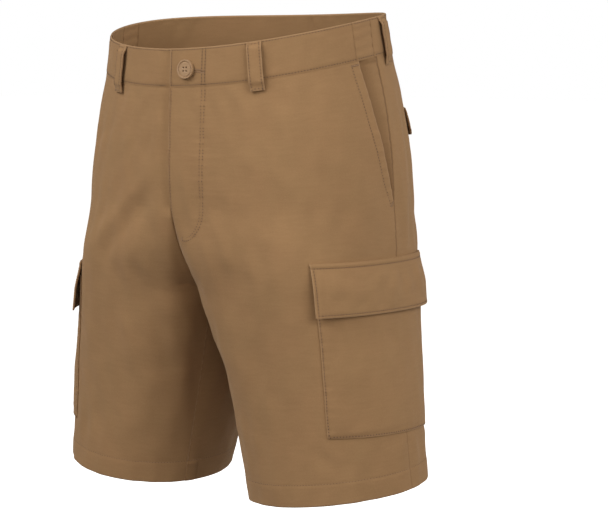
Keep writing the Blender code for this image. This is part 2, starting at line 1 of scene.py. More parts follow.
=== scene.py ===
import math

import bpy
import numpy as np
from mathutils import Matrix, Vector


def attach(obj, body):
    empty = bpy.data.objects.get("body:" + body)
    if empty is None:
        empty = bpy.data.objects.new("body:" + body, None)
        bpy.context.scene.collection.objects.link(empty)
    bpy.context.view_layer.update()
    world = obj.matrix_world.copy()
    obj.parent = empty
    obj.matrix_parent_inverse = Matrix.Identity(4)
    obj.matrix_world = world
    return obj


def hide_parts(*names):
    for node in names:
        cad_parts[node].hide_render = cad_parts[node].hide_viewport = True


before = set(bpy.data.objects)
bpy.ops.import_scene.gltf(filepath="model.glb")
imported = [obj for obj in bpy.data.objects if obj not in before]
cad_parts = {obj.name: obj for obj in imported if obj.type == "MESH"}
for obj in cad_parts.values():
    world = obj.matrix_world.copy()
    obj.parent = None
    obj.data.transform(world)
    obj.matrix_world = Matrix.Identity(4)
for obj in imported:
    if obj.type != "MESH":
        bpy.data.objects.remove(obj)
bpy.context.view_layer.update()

# Cargo shorts in brushed tan twill, filled out as if worn.
# Metres: +Z is up, +X the wearer's left, -Y the front. The origin is the middle of the waist.
# A place on the cloth is given by its depth below the waist and by its distance along the
# cloth from the side line, which is negative towards the front.

sideWords = {1: "left", -1: "right"}
bpy.ops.object.select_all(action="DESELECT")
print("frame loaded:", len(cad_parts), "nodes")


# The form that all the cloth lies on

form = {
    "wall": 0.0013, "bandWall": 0.0022, "flapWall": 0.0016, "seam": 0.0003, "gap": -0.00030,
    "slide": 0.0004,
    "bandEnd": 0.0390, "crotch": 0.2620, "crotchY": -0.0550, "hem": 0.4700,
    "frontRiseStart": 0.1200, "frontRisePower": 2.0, "backRiseStart": 0.1050, "backRisePower": 2.5,
    "joinedUntil": 0.1700, "meetingLength": 0.0400, "flatWithin": 0.0060,
    "middleZone": math.radians(48), "ringSteps": 240, "shareSteps": 240,
    "easeSpread": 0.0110, "easeLength": 0.0330, "easeZone": math.radians(22),
    "rows": 236, "nearRows": 40, "nearCrotch": 0.0300, "directions": np.linspace(-200, 220, 421),
}

sectionColumns = ("depth", "halfWidth", "front", "back", "inner", "legDeep", "legY", "turn",
                  "inseam", "side", "toBack", "toSide", "lift", "square", "legSquare")
sections = (
    (0.000, 0.1600, 0.1180, 0.1150, 0.0002, 0.118, 0.0000, 0, 0, 5.0, 0.167, 0.000, 0.010, 2.05, 2.7),
    (0.039, 0.1655, 0.1195, 0.1210, 0.0002, 0.119, 0.0000, 0, 0, 5.5, 0.167, 0.000, 0.010, 2.10, 2.7),
    (0.080, 0.1730, 0.1215, 0.1310, 0.0002, 0.120, 0.0000, 0, 0, 8.0, 0.130, 0.000, 0.006, 2.20, 2.7),
    (0.130, 0.1805, 0.1230, 0.1390, 0.0002, 0.121, 0.0000, 0, 0, 9.0, 0.080, 0.000, 0.002, 2.30, 2.7),
    (0.180, 0.1845, 0.1240, 0.1410, 0.0002, 0.120, 0.0000, 0, 0, 9.0, 0.040, 0.000, 0.000, 2.35, 2.7),
    (0.230, 0.1865, 0.1250, 0.1390, 0.0002, 0.116, 0.0000, 0, 0, 9.0, 0.010, 0.000, 0.000, 2.35, 3.1),
    (0.262, 0.1890, 0.1260, 0.1360, 0.0002, 0.112, 0.0000, 0, 30, 8.0, 0.000, 0.010, 0.000, 2.35, 3.4),
    (0.310, 0.1935, 0.1260, 0.1360, 0.0065, 0.107, 0.0000, 3, 30, 6.0, 0.010, 0.030, 0.000, 2.35, 3.0),
    (0.350, 0.2010, 0.1260, 0.1360, 0.0150, 0.101, -0.0020, 7, 28, 3.5, 0.030, 0.050, 0.000, 2.30, 2.5),
    (0.410, 0.2140, 0.1260, 0.1360, 0.0260, 0.092, -0.0065, 11, 26, 1.0, 0.055, 0.078, 0.000, 2.15, 2.2),
    (0.470, 0.2240, 0.1260, 0.1360, 0.0380, 0.087, -0.0096, 16, 25, 1.5, 0.076, 0.103, 0.000, 2.00, 2.0),
)
columns = {name: np.array([row[i] for row in sections], float)
           for i, name in enumerate(sectionColumns)}


def softStep(x):
    x = np.clip(x, 0.0, 1.0)
    return x * x * (3 - 2 * x)


def ramp(x, start, length):
    return softStep((x - start) / length)


def bell(x, spread):
    return np.exp(-(x / spread) ** 2)


def runLengths(points):
    return np.concatenate([[0.0], np.cumsum(np.linalg.norm(np.diff(points, axis=0), axis=1))])


def signedPower(values, power):
    return np.sign(values) * np.abs(values) ** power


def monotone(xs, ys, x):
    # smooth values through a column, with no overshoot between its rows
    xs = np.asarray(xs, float)
    ys = np.asarray(ys, float)
    steps = np.diff(xs)
    slopes = np.diff(ys) / steps
    tangents = np.zeros(len(xs))
    tangents[0] = slopes[0]
    tangents[-1] = slopes[-1]
    for i in range(1, len(xs) - 1):
        if slopes[i - 1] * slopes[i] > 0:
            before = 2 * steps[i] + steps[i - 1]
            after = steps[i] + 2 * steps[i - 1]
            tangents[i] = (before + after) / (before / slopes[i - 1] + after / slopes[i])
    x = np.clip(x, xs[0], xs[-1])
    i = np.clip(np.searchsorted(xs, x) - 1, 0, len(steps) - 1)
    u = (x - xs[i]) / steps[i]
    start = (2 * u**3 - 3 * u**2 + 1) * ys[i] + (u**3 - 2 * u**2 + u) * steps[i] * tangents[i]
    end = (3 * u**2 - 2 * u**3) * ys[i + 1] + (u**3 - u**2) * steps[i] * tangents[i + 1]
    return start + end


def riseShare(depth, towards):
    # how far out the middle seam still lies, from 1 down to 0 at the crotch
    start = form["frontRiseStart"] if towards < 0 else form["backRiseStart"]
    power = form["frontRisePower"] if towards < 0 else form["backRisePower"]
    share = np.clip((depth - start) / (form["crotch"] - start), 0.0, 1.0)
    return (1 - share**power) ** (1 / power)


def polar(x, y, centre, centreY):
    direction = np.unwrap(np.arctan2(y - centreY, x - centre))
    distance = np.hypot(x - centre, y - centreY)
    if direction[0] > 0:
        direction -= 2 * math.pi
    return direction, distance


def torsoOutline(size, centre, centreY):
    angle = np.linspace(0, math.pi, 4 * form["ringSteps"])
    power = 2 / size["square"]
    toFront = np.where(np.cos(angle) > 0, size["front"], size["back"])
    x = form["seam"] / 2 + size["halfWidth"] * signedPower(np.sin(angle), power)
    y = -toFront * signedPower(np.cos(angle), power)
    return polar(x, y, centre, centreY)


def legOutline(size, half, centre, centreY):
    # twice round, so that any direction can be read from it
    angle = np.linspace(-math.pi, 3 * math.pi, 16 * form["ringSteps"])
    power = 2 / np.where(np.cos(angle) > 0, size["legSquare"], size["square"])
    across = -half * signedPower(np.cos(angle), power)
    deep = -size["legDeep"] * signedPower(np.sin(angle), power)
    turn = math.radians(size["turn"])
    x = centre + across * math.cos(turn) - deep * math.sin(turn)
    y = centreY + across * math.sin(turn) + deep * math.cos(turn)
    return polar(x, y, centre, centreY)


def radii(depth, size, directions):
    # how far the cloth lies from the leg's middle in each direction, on the wearer's left half,
    # with the directions of the middle seam or inseam at its front and back
    half = (size["halfWidth"] - size["inner"]) / 2
    centre = (size["halfWidth"] + size["inner"]) / 2
    centreY = size["legY"]
    inseam = math.radians(size["inseam"])
    start = inseam - math.pi
    end = inseam + math.pi
    gap = form["seam"] / 2
    crotchY = form["crotchY"]
    frontY = crotchY - (size["front"] + crotchY) * riseShare(depth, -1)
    backY = crotchY + (size["back"] - crotchY) * riseShare(depth, 1)
    if depth < form["crotch"]:
        start = math.atan2(frontY - centreY, gap - centre)
        start -= 2 * math.pi if start > 0 else 0
        end = math.atan2(backY - centreY, gap - centre)
        end += 2 * math.pi if end < 0 else 0
    outline = legOutline(size, half, centre, centreY)
    distance = np.interp(directions, *outline)
    ends = np.interp([start, end], *outline)
    if depth < form["crotch"]:
        torso = torsoOutline(size, centre, centreY)
        parting = (depth - form["joinedUntil"]) / (form["crotch"] - form["joinedUntil"])
        joined = 1 - softStep(parting)
        distance += joined * (np.interp(directions, *torso) - distance)
        ends += joined * (np.interp([start, end], *torso) - ends)
        startOff = math.hypot(gap - centre, frontY - centreY) - ends[0]
        endOff = math.hypot(gap - centre, backY - centreY) - ends[1]
    else:
        meeting = (centre - size["inner"]) / math.cos(inseam) - ends[0]
        startOff = endOff = meeting * (1 - ramp(depth, form["crotch"], form["meetingLength"]))
    distance += startOff * (1 - ramp(directions, start, form["middleZone"]))
    distance += endOff * (1 - ramp(end, directions, form["middleZone"]))
    return distance, (start, end), (ends[0] + startOff, ends[1] + endOff)


def easeCrotch(depths, directions, distance, limits, held):
    # the cloth passes softly from the torso to the legs, while the seams stay where they are
    spacings = np.gradient(depths)
    apart = (depths[:, None] - depths[None, :]) / form["easeSpread"]
    weights = np.exp(-apart * apart / 2) * spacings[None, :]
    weights /= weights.sum(axis=1, keepdims=True)
    share = bell(depths - form["crotch"], form["easeLength"])[:, None]
    eased = distance + share * (weights @ distance - distance)
    for i in range(len(depths)):
        for end, sign in ((0, 1), (1, -1)):
            off = held[i][end] - np.interp(limits[i][end], directions, eased[i])
            away = sign * (directions - limits[i][end]) / form["easeZone"]
            eased[i] += off * (1 - softStep(away))
    return eased


def makeTable():
    # the whole form read once, with rows set close together at the crotch
    near = form["crotch"] - form["nearCrotch"] * np.linspace(0, 1, form["nearRows"]) ** 2
    depths = np.unique(np.concatenate([np.linspace(0, form["hem"], form["rows"]), near]))
    depths = depths[np.diff(depths, prepend=-1) > 1e-6]
    sizes = {name: monotone(columns["depth"], column, depths) for name, column in columns.items()}
    directions = np.radians(form["directions"])
    found = [radii(depth, {name: float(sizes[name][i]) for name in sizes}, directions)
             for i, depth in enumerate(depths)]
    limits = [row[1] for row in found]
    distance = np.array([row[0] for row in found])
    distance = easeCrotch(depths, directions, distance, limits, [row[2] for row in found])

    centre = ((sizes["halfWidth"] + sizes["inner"]) / 2)[:, None]
    gap = form["gap"] / 2
    x = centre + distance * np.cos(directions)
    y = sizes["legY"][:, None] + distance * np.sin(directions)
    offMiddle = np.maximum(x - gap, 0.0)
    x = gap + offMiddle * softStep(offMiddle / form["flatWithin"])
    z = (-depths[:, None] + sizes["toBack"][:, None] * y + sizes["toSide"][:, None] * (x - centre)
         + sizes["lift"][:, None] * (x / sizes["halfWidth"][:, None]) ** 2)
    grid = np.stack([x, y, z], axis=2)
    normals = np.cross(np.gradient(grid, depths, axis=0), np.gradient(grid, axis=1))
    normals /= np.maximum(np.linalg.norm(normals, axis=2, keepdims=True), 1e-12)

    shares = np.linspace(-1, 1, 2 * form["shareSteps"] + 1)
    made = {"depths": depths, "points": np.zeros((len(depths), len(shares), 3)),
            "normals": np.zeros((len(depths), len(shares), 3)),
            "front": np.zeros(len(depths)), "back": np.zeros(len(depths))}
    step = np.linspace(0, 1, form["ringSteps"] + 1)
    for i in range(len(depths)):
        start, end = limits[i]
        side = math.radians(sizes["side"][i])
        turn = np.concatenate([start + step * (side - start), side + step[1:] * (end - side)])
        ring = np.stack([np.interp(turn, directions, grid[i, :, axis]) for axis in range(3)], axis=1)
        along = runLengths(ring)
        along -= along[form["ringSteps"]]
        made["front"][i] = -along[0]
        made["back"][i] = along[-1]
        turn = np.interp(shares * np.where(shares < 0, -along[0], along[-1]), along, turn)
        for axis in range(3):
            made["points"][i, :, axis] = np.interp(turn, directions, grid[i, :, axis])
            made["normals"][i, :, axis] = np.interp(turn, directions, normals[i, :, axis])
    made["normals"] /= np.linalg.norm(made["normals"], axis=2, keepdims=True)
    return made


table = makeTable()
print("form ready:", table["points"].shape[0], "sections")


def reach(depth, towards):
    # distance from the side line to the middle seam or the inseam
    return np.interp(depth, table["depths"], table["front" if towards < 0 else "back"])


def reachTo(depth, along):
    return np.where(along < 0, reach(depth, -1), reach(depth, 1))


def onForm(depth, share):
    row = np.interp(depth, table["depths"], np.arange(len(table["depths"])))
    column = (np.clip(share, -1, 1) + 1) * form["shareSteps"]
    i = np.minimum(row.astype(int), len(table["depths"]) - 2)
    j = np.minimum(column.astype(int), 2 * form["shareSteps"] - 1)
    f = (row - i)[..., None]
    g = (column - j)[..., None]

    def blend(grid):
        upper = grid[i, j] * (1 - g) + grid[i, j + 1] * g
        lower = grid[i + 1, j] * (1 - g) + grid[i + 1, j + 1] * g
        return upper * (1 - f) + lower * f

    normal = blend(table["normals"])
    return blend(table["points"]), normal / np.linalg.norm(normal, axis=-1, keepdims=True)


# Folds and creases: straight or bowed runs on the cloth, as soft ridges (+) and troughs (-)
# wearer's side; depth and distance at both ends; half breadth; height; sideways bow

foldColumns = ("side", "depthA", "alongA", "depthB", "alongB", "breadth", "height", "bow")
mainFolds = (
    (-1, 0.115, -0.254, 0.245, -0.139, 0.013, 0.0030, 0),
    (-1, 0.140, -0.256, 0.252, -0.154, 0.011, -0.0032, 0),
    (-1, 0.155, -0.264, 0.290, -0.170, 0.013, 0.0028, 0),
    (-1, 0.235, -0.262, 0.345, -0.250, 0.014, 0.0022, 0),
    (-1, 0.265, -0.215, 0.360, -0.226, 0.014, -0.0022, 0),
    (-1, 0.330, -0.190, 0.440, -0.140, 0.016, -0.0016, 0),
    (1, 0.190, -0.214, 0.256, -0.122, 0.014, -0.0007, 0),
    (1, 0.200, -0.250, 0.385, -0.190, 0.018, 0.0028, 0),
    (1, 0.285, -0.252, 0.400, -0.222, 0.016, -0.0016, 0),
    (1, 0.095, 0.022, 0.228, 0.028, 0.009, 0.0026, 0),
    (1, 0.105, 0.041, 0.228, 0.047, 0.009, -0.0024, 0),
    (-1, 0.100, 0.024, 0.222, 0.030, 0.009, 0.0022, 0),
    (-1, 0.115, 0.042, 0.222, 0.048, 0.009, -0.0022, 0),
    (1, 0.190, 0.235, 0.262, 0.115, 0.014, -0.0026, 0),
    (1, 0.215, 0.250, 0.295, 0.140, 0.014, 0.0024, 0),
    (-1, 0.185, 0.240, 0.268, 0.125, 0.014, -0.0028, 0),
    (-1, 0.220, 0.250, 0.305, 0.150, 0.015, 0.0024, 0),
    (1, 0.320, 0.200, 0.440, 0.130, 0.016, -0.0018, 0),
    (-1, 0.315, 0.205, 0.430, 0.120, 0.017, -0.0018, 0),
)
fineCreases = (
    (1, 0.060, -0.190, 0.120, -0.150, 0.007, -0.0007, 0.004),
    (1, 0.110, -0.200, 0.150, -0.120, 0.008, 0.0006, -0.005),
    (1, 0.225, -0.236, 0.262, -0.170, 0.009, -0.0002, 0.003),
    (1, 0.235, -0.246, 0.300, -0.195, 0.009, 0.0003, 0.004),
    (1, 0.255, -0.250, 0.330, -0.225, 0.006, -0.0008, -0.003),
    (1, 0.300, -0.175, 0.372, -0.150, 0.008, -0.0007, 0.005),
    (1, 0.375, -0.230, 0.420, -0.160, 0.008, 0.0006, 0.004),
    (1, 0.410, -0.120, 0.446, -0.060, 0.007, -0.0006, 0.003),
    (-1, 0.060, -0.170, 0.115, -0.120, 0.008, -0.0007, 0.004),
    (-1, 0.150, -0.225, 0.232, -0.150, 0.008, 0.0008, -0.004),
    (-1, 0.175, -0.238, 0.268, -0.178, 0.008, -0.0007, 0.004),
    (-1, 0.205, -0.248, 0.292, -0.196, 0.008, 0.0006, 0.003),
    (-1, 0.228, -0.256, 0.310, -0.222, 0.007, -0.0005, -0.002),
    (-1, 0.100, -0.215, 0.150, -0.140, 0.008, -0.0006, 0.004),
    (-1, 0.350, -0.215, 0.425, -0.190, 0.008, 0.0008, 0.004),
    (-1, 0.385, -0.150, 0.440, -0.095, 0.008, -0.0006, 0.004),
    (1, 0.130, 0.012, 0.175, 0.016, 0.004, 0.0007, 0),
    (1, 0.150, 0.033, 0.226, 0.036, 0.005, -0.0007, 0.002),
    (1, 0.180, 0.090, 0.224, 0.050, 0.007, -0.0008, 0.004),
    (1, 0.150, 0.180, 0.205, 0.120, 0.008, 0.0007, 0.005),
    (1, 0.240, 0.255, 0.280, 0.180, 0.006, -0.0010, 0.004),
    (1, 0.270, 0.262, 0.330, 0.215, 0.006, 0.0008, 0.003),
    (1, 0.300, 0.170, 0.352, 0.120, 0.008, -0.0007, 0.004),
    (1, 0.360, 0.230, 0.430, 0.175, 0.008, 0.0006, -0.004),
    (-1, 0.130, 0.014, 0.176, 0.018, 0.004, 0.0006, 0),
    (-1, 0.155, 0.034, 0.224, 0.037, 0.005, -0.0007, 0.002),
    (-1, 0.175, 0.085, 0.222, 0.046, 0.007, -0.0007, 0.004),
    (-1, 0.145, 0.190, 0.200, 0.130, 0.008, 0.0007, -0.005),
    (-1, 0.235, 0.255, 0.285, 0.185, 0.006, -0.0010, 0.004),
    (-1, 0.275, 0.262, 0.325, 0.210, 0.006, 0.0008, 0.003),
    (-1, 0.345, 0.240, 0.420, 0.190, 0.008, -0.0006, 0.004),
    (-1, 0.268, -0.268, 0.425, -0.246, 0.013, 0.0036, 0),
    (-1, 0.268, -0.240, 0.450, -0.210, 0.028, 0.0036, 0),
    (-1, 0.145, -0.247, 0.261, -0.278, 0.012, 0.0032, 0),
    (1, 0.235, -0.272, 0.425, -0.246, 0.013, 0.0012, 0),
)
relief = {"fadeAtMiddle": 0.024, "foldShare": 0.65, "rippleHeight": 0.00016, "rippleWaves": 22, "seed": 11,
          "longest": 0.085, "shortest": 0.020, "heading": math.radians(62),
          "headingSpread": math.radians(34)}


def ridges(rows, side, depth, along):
    total = np.zeros(np.shape(depth))
    for row in rows:
        fold = dict(zip(foldColumns, row))
        if fold["side"] != side:
            continue
        runDepth = fold["depthB"] - fold["depthA"]
        runAlong = fold["alongB"] - fold["alongA"]
        length = math.hypot(runDepth, runAlong)
        share = ((depth - fold["depthA"]) * runDepth + (along - fold["alongA"]) * runAlong) / length**2
        off = ((depth - fold["depthA"]) * runAlong - (along - fold["alongA"]) * runDepth) / length
        inside = np.clip(share, 0, 1)
        off = (off - fold["bow"] * np.sin(math.pi * inside)) / fold["breadth"]
        shape = np.sin(math.pi * inside) * np.cos(math.pi * np.clip(off, -2, 2) / 4) ** 2
        total += fold["height"] * shape
    return total


def makeRipple():
    dice = np.random.default_rng(relief["seed"])
    waves = []
    for _ in range(relief["rippleWaves"]):
        length = relief["shortest"] * (relief["longest"] / relief["shortest"]) ** dice.random()
        heading = dice.normal(relief["heading"], relief["headingSpread"]) * dice.choice([-1, 1])
        waves.append((2 * math.pi / length * math.cos(heading), 2 * math.pi / length * math.sin(heading),
                      dice.random() * 2 * math.pi, math.sqrt(length / relief["longest"])))
    return waves


rippleWaves = makeRipple()


def ripple(side, depth, along):
    # the slight unevenness of washed cotton
    total = np.zeros(np.shape(depth))
    for i, (down, across, phase, size) in enumerate(rippleWaves):
        total += size * np.sin(down * depth + across * along + phase + side * (i + 1))
    return relief["rippleHeight"] * total


def middleFade(depth, along):
    return softStep((reachTo(depth, along) - np.abs(along)) / relief["fadeAtMiddle"])


def place(side, depth, along, out=0.0):
    # world points out metres off the form; past the middle seam a place runs on over the other
    # half, and past the inseam round the same leg
    depth, along, out = (np.asarray(a, float) for a in np.broadcast_arrays(depth, along, out))
    half = reachTo(depth, along)
    past = np.abs(along) - half
    above = depth < form["crotch"]
    flip = (past > 0) & above
    mirrored = np.copysign(half - past, along)
    wrapped = -np.copysign(reachTo(depth, -along) - past, along)
    along = np.where(past > 0, np.where(above, mirrored, wrapped), along)
    point, normal = onForm(depth, along / reachTo(depth, along))
    fade = middleFade(depth, along)
    folds = ridges(mainFolds, side, depth, along)
    if flip.any():
        folds = np.where(flip, ridges(mainFolds, -side, depth, along), folds)
    point = point + (out + relief["foldShare"] * fade * folds)[..., None] * normal
    point[..., 0] *= np.where(flip, -side, side)
    return point


# Where the seams and edges run

def riseDepths(towards):
    # depths along the middle seam, evenly spaced along its curve
    top = form["bandEnd"] + form["seam"] / 2
    depths = top + (form["crotch"] - top) * np.sin(np.linspace(0, math.pi / 2, 400))
    deepColumn = columns["front"] + form["crotchY"] if towards < 0 else columns["back"] - form["crotchY"]
    deep = monotone(columns["depth"], deepColumn, depths)
    points = np.stack([deep * riseShare(depths, towards), depths], axis=1)
    length = runLengths(points)
    return length / length[-1], depths


riseCurve = {-1: riseDepths(-1), 1: riseDepths(1)}


def rowDepth(level, share, towards):
    # depth of a panel's row that has this level at the side and follows the rise at the middle
    top = form["bandEnd"] + form["seam"] / 2
    t = (level - top) / (form["crotch"] - top)
    curve = np.interp(t, *riseCurve[towards])
    return np.where(t < 1, level + (curve - level) * softStep(share), level)


def rowReach(level, towards):
    return reach(rowDepth(level, 1.0, towards), towards) - form["gap"] / 2


pocket = {"mouthStart": -0.0280, "mouthEnd": 0.1780, "mouthCurve": 1.5, "lip": 0.0018, "lipSpread": 0.0120,
          "stitchIn": 0.0100, "rowTop": 0.0415, "rowEnd": 0.1790, "rowTurnsAt": 0.1500, "rowTurn": 0.0035,
          "facingUnder": 0.0140, "facingBelow": 0.0120, "facingAbove": 0.0030, "facingRamp": 0.0135,
          "facingLevel": 0.0035, "fullWidth": 0.0200, "facingSink": 0.0006, "facingTop": 2.5,
          "puckerPitch": 0.0082, "pucker": 0.00055, "puckerFrom": 0.0850, "puckerIn": 0.0045,
          # shade, topShade and sideShade are painted shade: the mouth edge's shadow on the facing, a dark
          # line under the band, and the side seam
          "shade": 0.70, "shadeSpread": 0.0100, "topShade": 0.45, "topShadeAt": 0.0035,
          "topShadeSpread": 0.0025, "sideShade": 0.70, "sideSpread": 0.0011, "inseamFrom": 0.0320,
          "barDown": 0.001, "barMouthAt": 0.0425, "barOff": 0.0012, "barRise": 0.004}


def mouth(depth):
    share = (depth - form["bandEnd"]) / (pocket["mouthEnd"] - form["bandEnd"])
    return pocket["mouthStart"] * (1 - np.maximum(share, 0.0) ** pocket["mouthCurve"])


def frontEdge(depth):
    return np.where(depth < pocket["mouthEnd"], mouth(depth) - form["gap"], -form["gap"] / 2)


def mouthLip(depth, along):
    share = np.clip((depth - form["bandEnd"]) / (pocket["mouthEnd"] - form["bandEnd"]), 0, 1)
    near = (mouth(depth) - along) / pocket["lipSpread"]
    return pocket["lip"] * np.sin(math.pi * share) * np.exp(-near * near)


fly = {"end": 0.1720, "soften": 0.0160, "level": 0.0040, "ramp": 0.0120, "lap": 0.0080,
       "edgeStitch": 0.0025, "rowOut": 0.0445, "rowIn": 0.0408, "straightTo": 0.1780,
       "cornerDeep": 0.0340, "cornerAcross": 0.0200, "valley": 0.0009, "valleySpread": 0.0220,
       "edgeLift": 0.0005, "edgeSpread": 0.0035, "edgeTop": 0.0402, "edgeEnd": 0.2130, "rowTop": 0.0012,
       "turn": math.radians(96), "puff": 0.00055, "puffPitch": 0.0072, "topSinkEnd": 0.0300,
       "rowsMiddle": 0.002, "barAt": 0.2125, "bar": ((0.2075, 0.0032), (0.2135, 0.0045)),
       "barIn": 0.001, "barRise": 0.0036}


def flySink(depth, fromMiddle):
    # the right front runs under the left one, in a soft valley beside its edge
    under = 1 - ramp(fromMiddle, fly["level"], fly["ramp"])
    fade = 1 - ramp(depth, fly["end"], fly["soften"])
    valley = 1 - ramp(fromMiddle, fly["level"], fly["valleySpread"])
    below = ramp(depth, form["bandEnd"], fly["topSinkEnd"])
    sink = (form["wall"] + form["seam"] + form["slide"]) * under + fly["valley"] * below * valley
    return -sink * fade


def jRow(offset):
    # the fly's curved stitching, as depths and distances from the middle
    straight = np.linspace(form["bandEnd"] + fly["rowTop"], fly["straightTo"], 40)
    turn = np.linspace(0, fly["turn"], 26)[1:]
    radius = fly["rowOut"] - fly["cornerAcross"] - offset
    depths = np.concatenate([straight, fly["straightTo"] + (fly["cornerDeep"] - offset) * np.sin(turn)])
    off = np.concatenate([np.full(40, fly["rowOut"] - offset),
                          fly["cornerAcross"] + radius * np.cos(turn)])
    return depths, off


def alongFromMiddle(depths, off):
    return off - reach(depths, -1)


def frontRows(side):
    # stitching on a front, as (depths, distances) runs
    rows = []
    depths = np.linspace(pocket["rowTop"], pocket["rowEnd"], 60)
    turn = pocket["rowTurn"] * ramp(depths, pocket["rowTurnsAt"], 0.03)
    rows.append((depths, mouth(depths) - pocket["stitchIn"] + turn))
    if side > 0:
        for offset in (0.0, fly["rowOut"] - fly["rowIn"]):
            depths, off = jRow(offset)
            rows.append((depths, alongFromMiddle(depths, off)))
        depths = np.linspace(fly["edgeTop"], fly["edgeEnd"], 60)
        rows.append((depths, alongFromMiddle(depths, fly["edgeStitch"])))
    return rows


# barShade is the painted shade along the hem bar's far edge
hem = {"stitch": 0.4485, "bulge": 0.0003, "roll": 0.0010, "groove": 0.3, "shade": 0.0030,
       "bar": 0.0007, "barWidth": 0.0120, "barEdge": 0.0014, "barShade": 0.4}


def hemRow(towards):
    shares = np.linspace(0.004, 0.996, 80)
    return np.full(80, hem["stitch"]), towards * shares * reach(hem["stitch"], towards)


def distanceTo(rows, depth, along):
    # distance to the nearest of the stitched runs
    best = np.full(np.shape(depth), 1.0)
    for depths, alongs in rows:
        for i in range(0, len(depths) - 1):
            runDepth = depths[i + 1] - depths[i]
            runAlong = alongs[i + 1] - alongs[i]
            t = ((depth - depths[i]) * runDepth + (along - alongs[i]) * runAlong)
            t = np.clip(t / (runDepth**2 + runAlong**2), 0, 1)
            off = np.hypot(depth - depths[i] - t * runDepth, along - alongs[i] - t * runAlong)
            best = np.minimum(best, off)
    return best


def thin(rows, step=4):
    # fewer points of the same runs, for measuring distances
    kept = []
    for depths, alongs in rows:
        picks = np.unique(np.append(np.arange(0, len(depths), step), len(depths) - 1))
        kept.append((depths[picks], alongs[picks]))
    return kept


sewing = {"groove": 0.00022, "grooveBreadth": 0.0011, "seamRoll": 0.00026, "seamBreadth": 0.0011,
          "pucker": 0.00020, "puckerPitch": 0.0085, "puckerSpread": 0.0090}


def groove(distance):
    return -sewing["groove"] * bell(distance, sewing["grooveBreadth"])


def rolled(distance):
    # an edge that turns down into its seam
    return -sewing["seamRoll"] * bell(distance, sewing["seamBreadth"])


def puckers(distance, run, phase=0.0, scale=1.0):
    # short waves across a seam that the stitching has drawn up
    wave = np.sin(2 * math.pi * run / sewing["puckerPitch"] + phase)
    wave += 0.6 * np.sin(2 * math.pi * run / (sewing["puckerPitch"] * 1.63) + 2 * phase + 1)
    return scale * sewing["pucker"] * wave * np.exp(-distance / sewing["puckerSpread"])


cargo = {"frontTop": -0.1100, "frontLow": -0.0920, "width": 0.1780, "top": 0.2470, "end": 0.4045,
         "drop": 0.0125, "rightLower": 0.0180, "billow": 0.0022, "stitchIn": 0.0020, "onCloth": 0.0009,
         "edgeDown": 0.0006, "spacing": 0.0022, "bevel": 0.0003, "roll": 0.0005,
         "flapTop": 0.2300, "flapEnd": 0.2860, "overhang": 0.0020, "lift": 0.0042, "gape": 0.0030,
         "step": 0.0340, "flapStitchIn": 0.0030, "flapTopRow": 0.0056, "corner": 0.0016, "topOff": 0.0004,
         "flapSpacing": 0.0020, "flapRowSpacing": 0.0018, "flapBevel": 0.0004}


def cargoFront(depth):
    share = (depth - cargo["flapTop"]) / (cargo["end"] - cargo["flapTop"])
    return cargo["frontTop"] + (cargo["frontLow"] - cargo["frontTop"]) * share


def lowered(side):
    # the right cargo pocket hangs a little lower than the left one
    return cargo["rightLower"] if side < 0 else 0.0


cover = {"margin": 0.010, "soft": 0.008, "cargoTop": 0.222, "cargoEnd": 0.424, "cargoSoft": 0.009,
         "seatStart": 0.050, "seatSide": 0.204, "seatTop": 0.086, "seatSoft": 0.007, "seatEnd": 0.135}


def underPocket(side, depth, along):
    # 1 where the cargo pocket lies on the panel
    depth = depth - lowered(side)
    start = cargoFront(depth) - cover["margin"]
    inside = ramp(along, start, cover["soft"])
    inside *= softStep((cargoFront(depth) + cargo["width"] + cover["margin"] - along) / cover["soft"])
    inside *= ramp(depth, cover["cargoTop"], cover["soft"])
    return inside * softStep((cover["cargoEnd"] - depth) / cover["cargoSoft"])


def underBackFlap(depth, along):
    inside = ramp(along, cover["seatStart"], cover["soft"])
    inside *= softStep((cover["seatSide"] - along) / cover["soft"])
    inside *= ramp(depth, cover["seatTop"], cover["seatSoft"])
    return inside * softStep((cover["seatEnd"] - depth) / cover["soft"])


def fineRelief(side, depth, along):
    fade = middleFade(depth, along)
    covered = 1 - 0.9 * np.maximum(underPocket(side, depth, along), underBackFlap(depth, along))
    belowBand = ramp(depth, form["bandEnd"], 0.012)
    lines = ridges(fineCreases, side, depth, along)
    return covered * belowBand * fade * (lines + ripple(side, depth, along))


def hemBar(depth, fromInseam):
    # the inseam's folded allowance shows through the turned hem: its rise, and the painted shade along its
    # far edge
    inHem = softStep((depth - hem["stitch"] - 0.001) / 0.002)
    edge = (hem["barWidth"] - fromInseam) / hem["barEdge"]
    return hem["bar"] * inHem * softStep(edge), inHem * np.exp(-(edge - 0.3) ** 2)


def hemOut(depth):
    # the turned hem: two layers below its stitching, with a rolled bottom edge
    out = hem["bulge"] * ramp(depth, hem["stitch"], 0.003)
    out -= hem["roll"] * softStep((depth - form["hem"] + 0.0010) / 0.0010) ** 2
    return out


frontStitches = {1: frontRows(1), -1: frontRows(-1)}


def flyPuff(side, depth, along):
    # the band between the fly's two rows stands up, drawn into small puckers
    outer, inner = (distanceTo(thin([row]), depth, along) for row in frontStitches[side][1:3])
    apart = fly["rowOut"] - fly["rowIn"]
    inside = softStep((apart + 0.0008 - outer - inner) / 0.0006)
    across = np.clip((outer - inner) / apart, -1, 1)
    drawn = 0.8 + 0.2 * np.sin(2 * math.pi * depth / fly["puffPitch"])
    standing = fly["puff"] * inside * drawn * (1 - across * across)
    return standing + 0.8 * puckers(np.minimum(outer, inner), depth, 2.1)


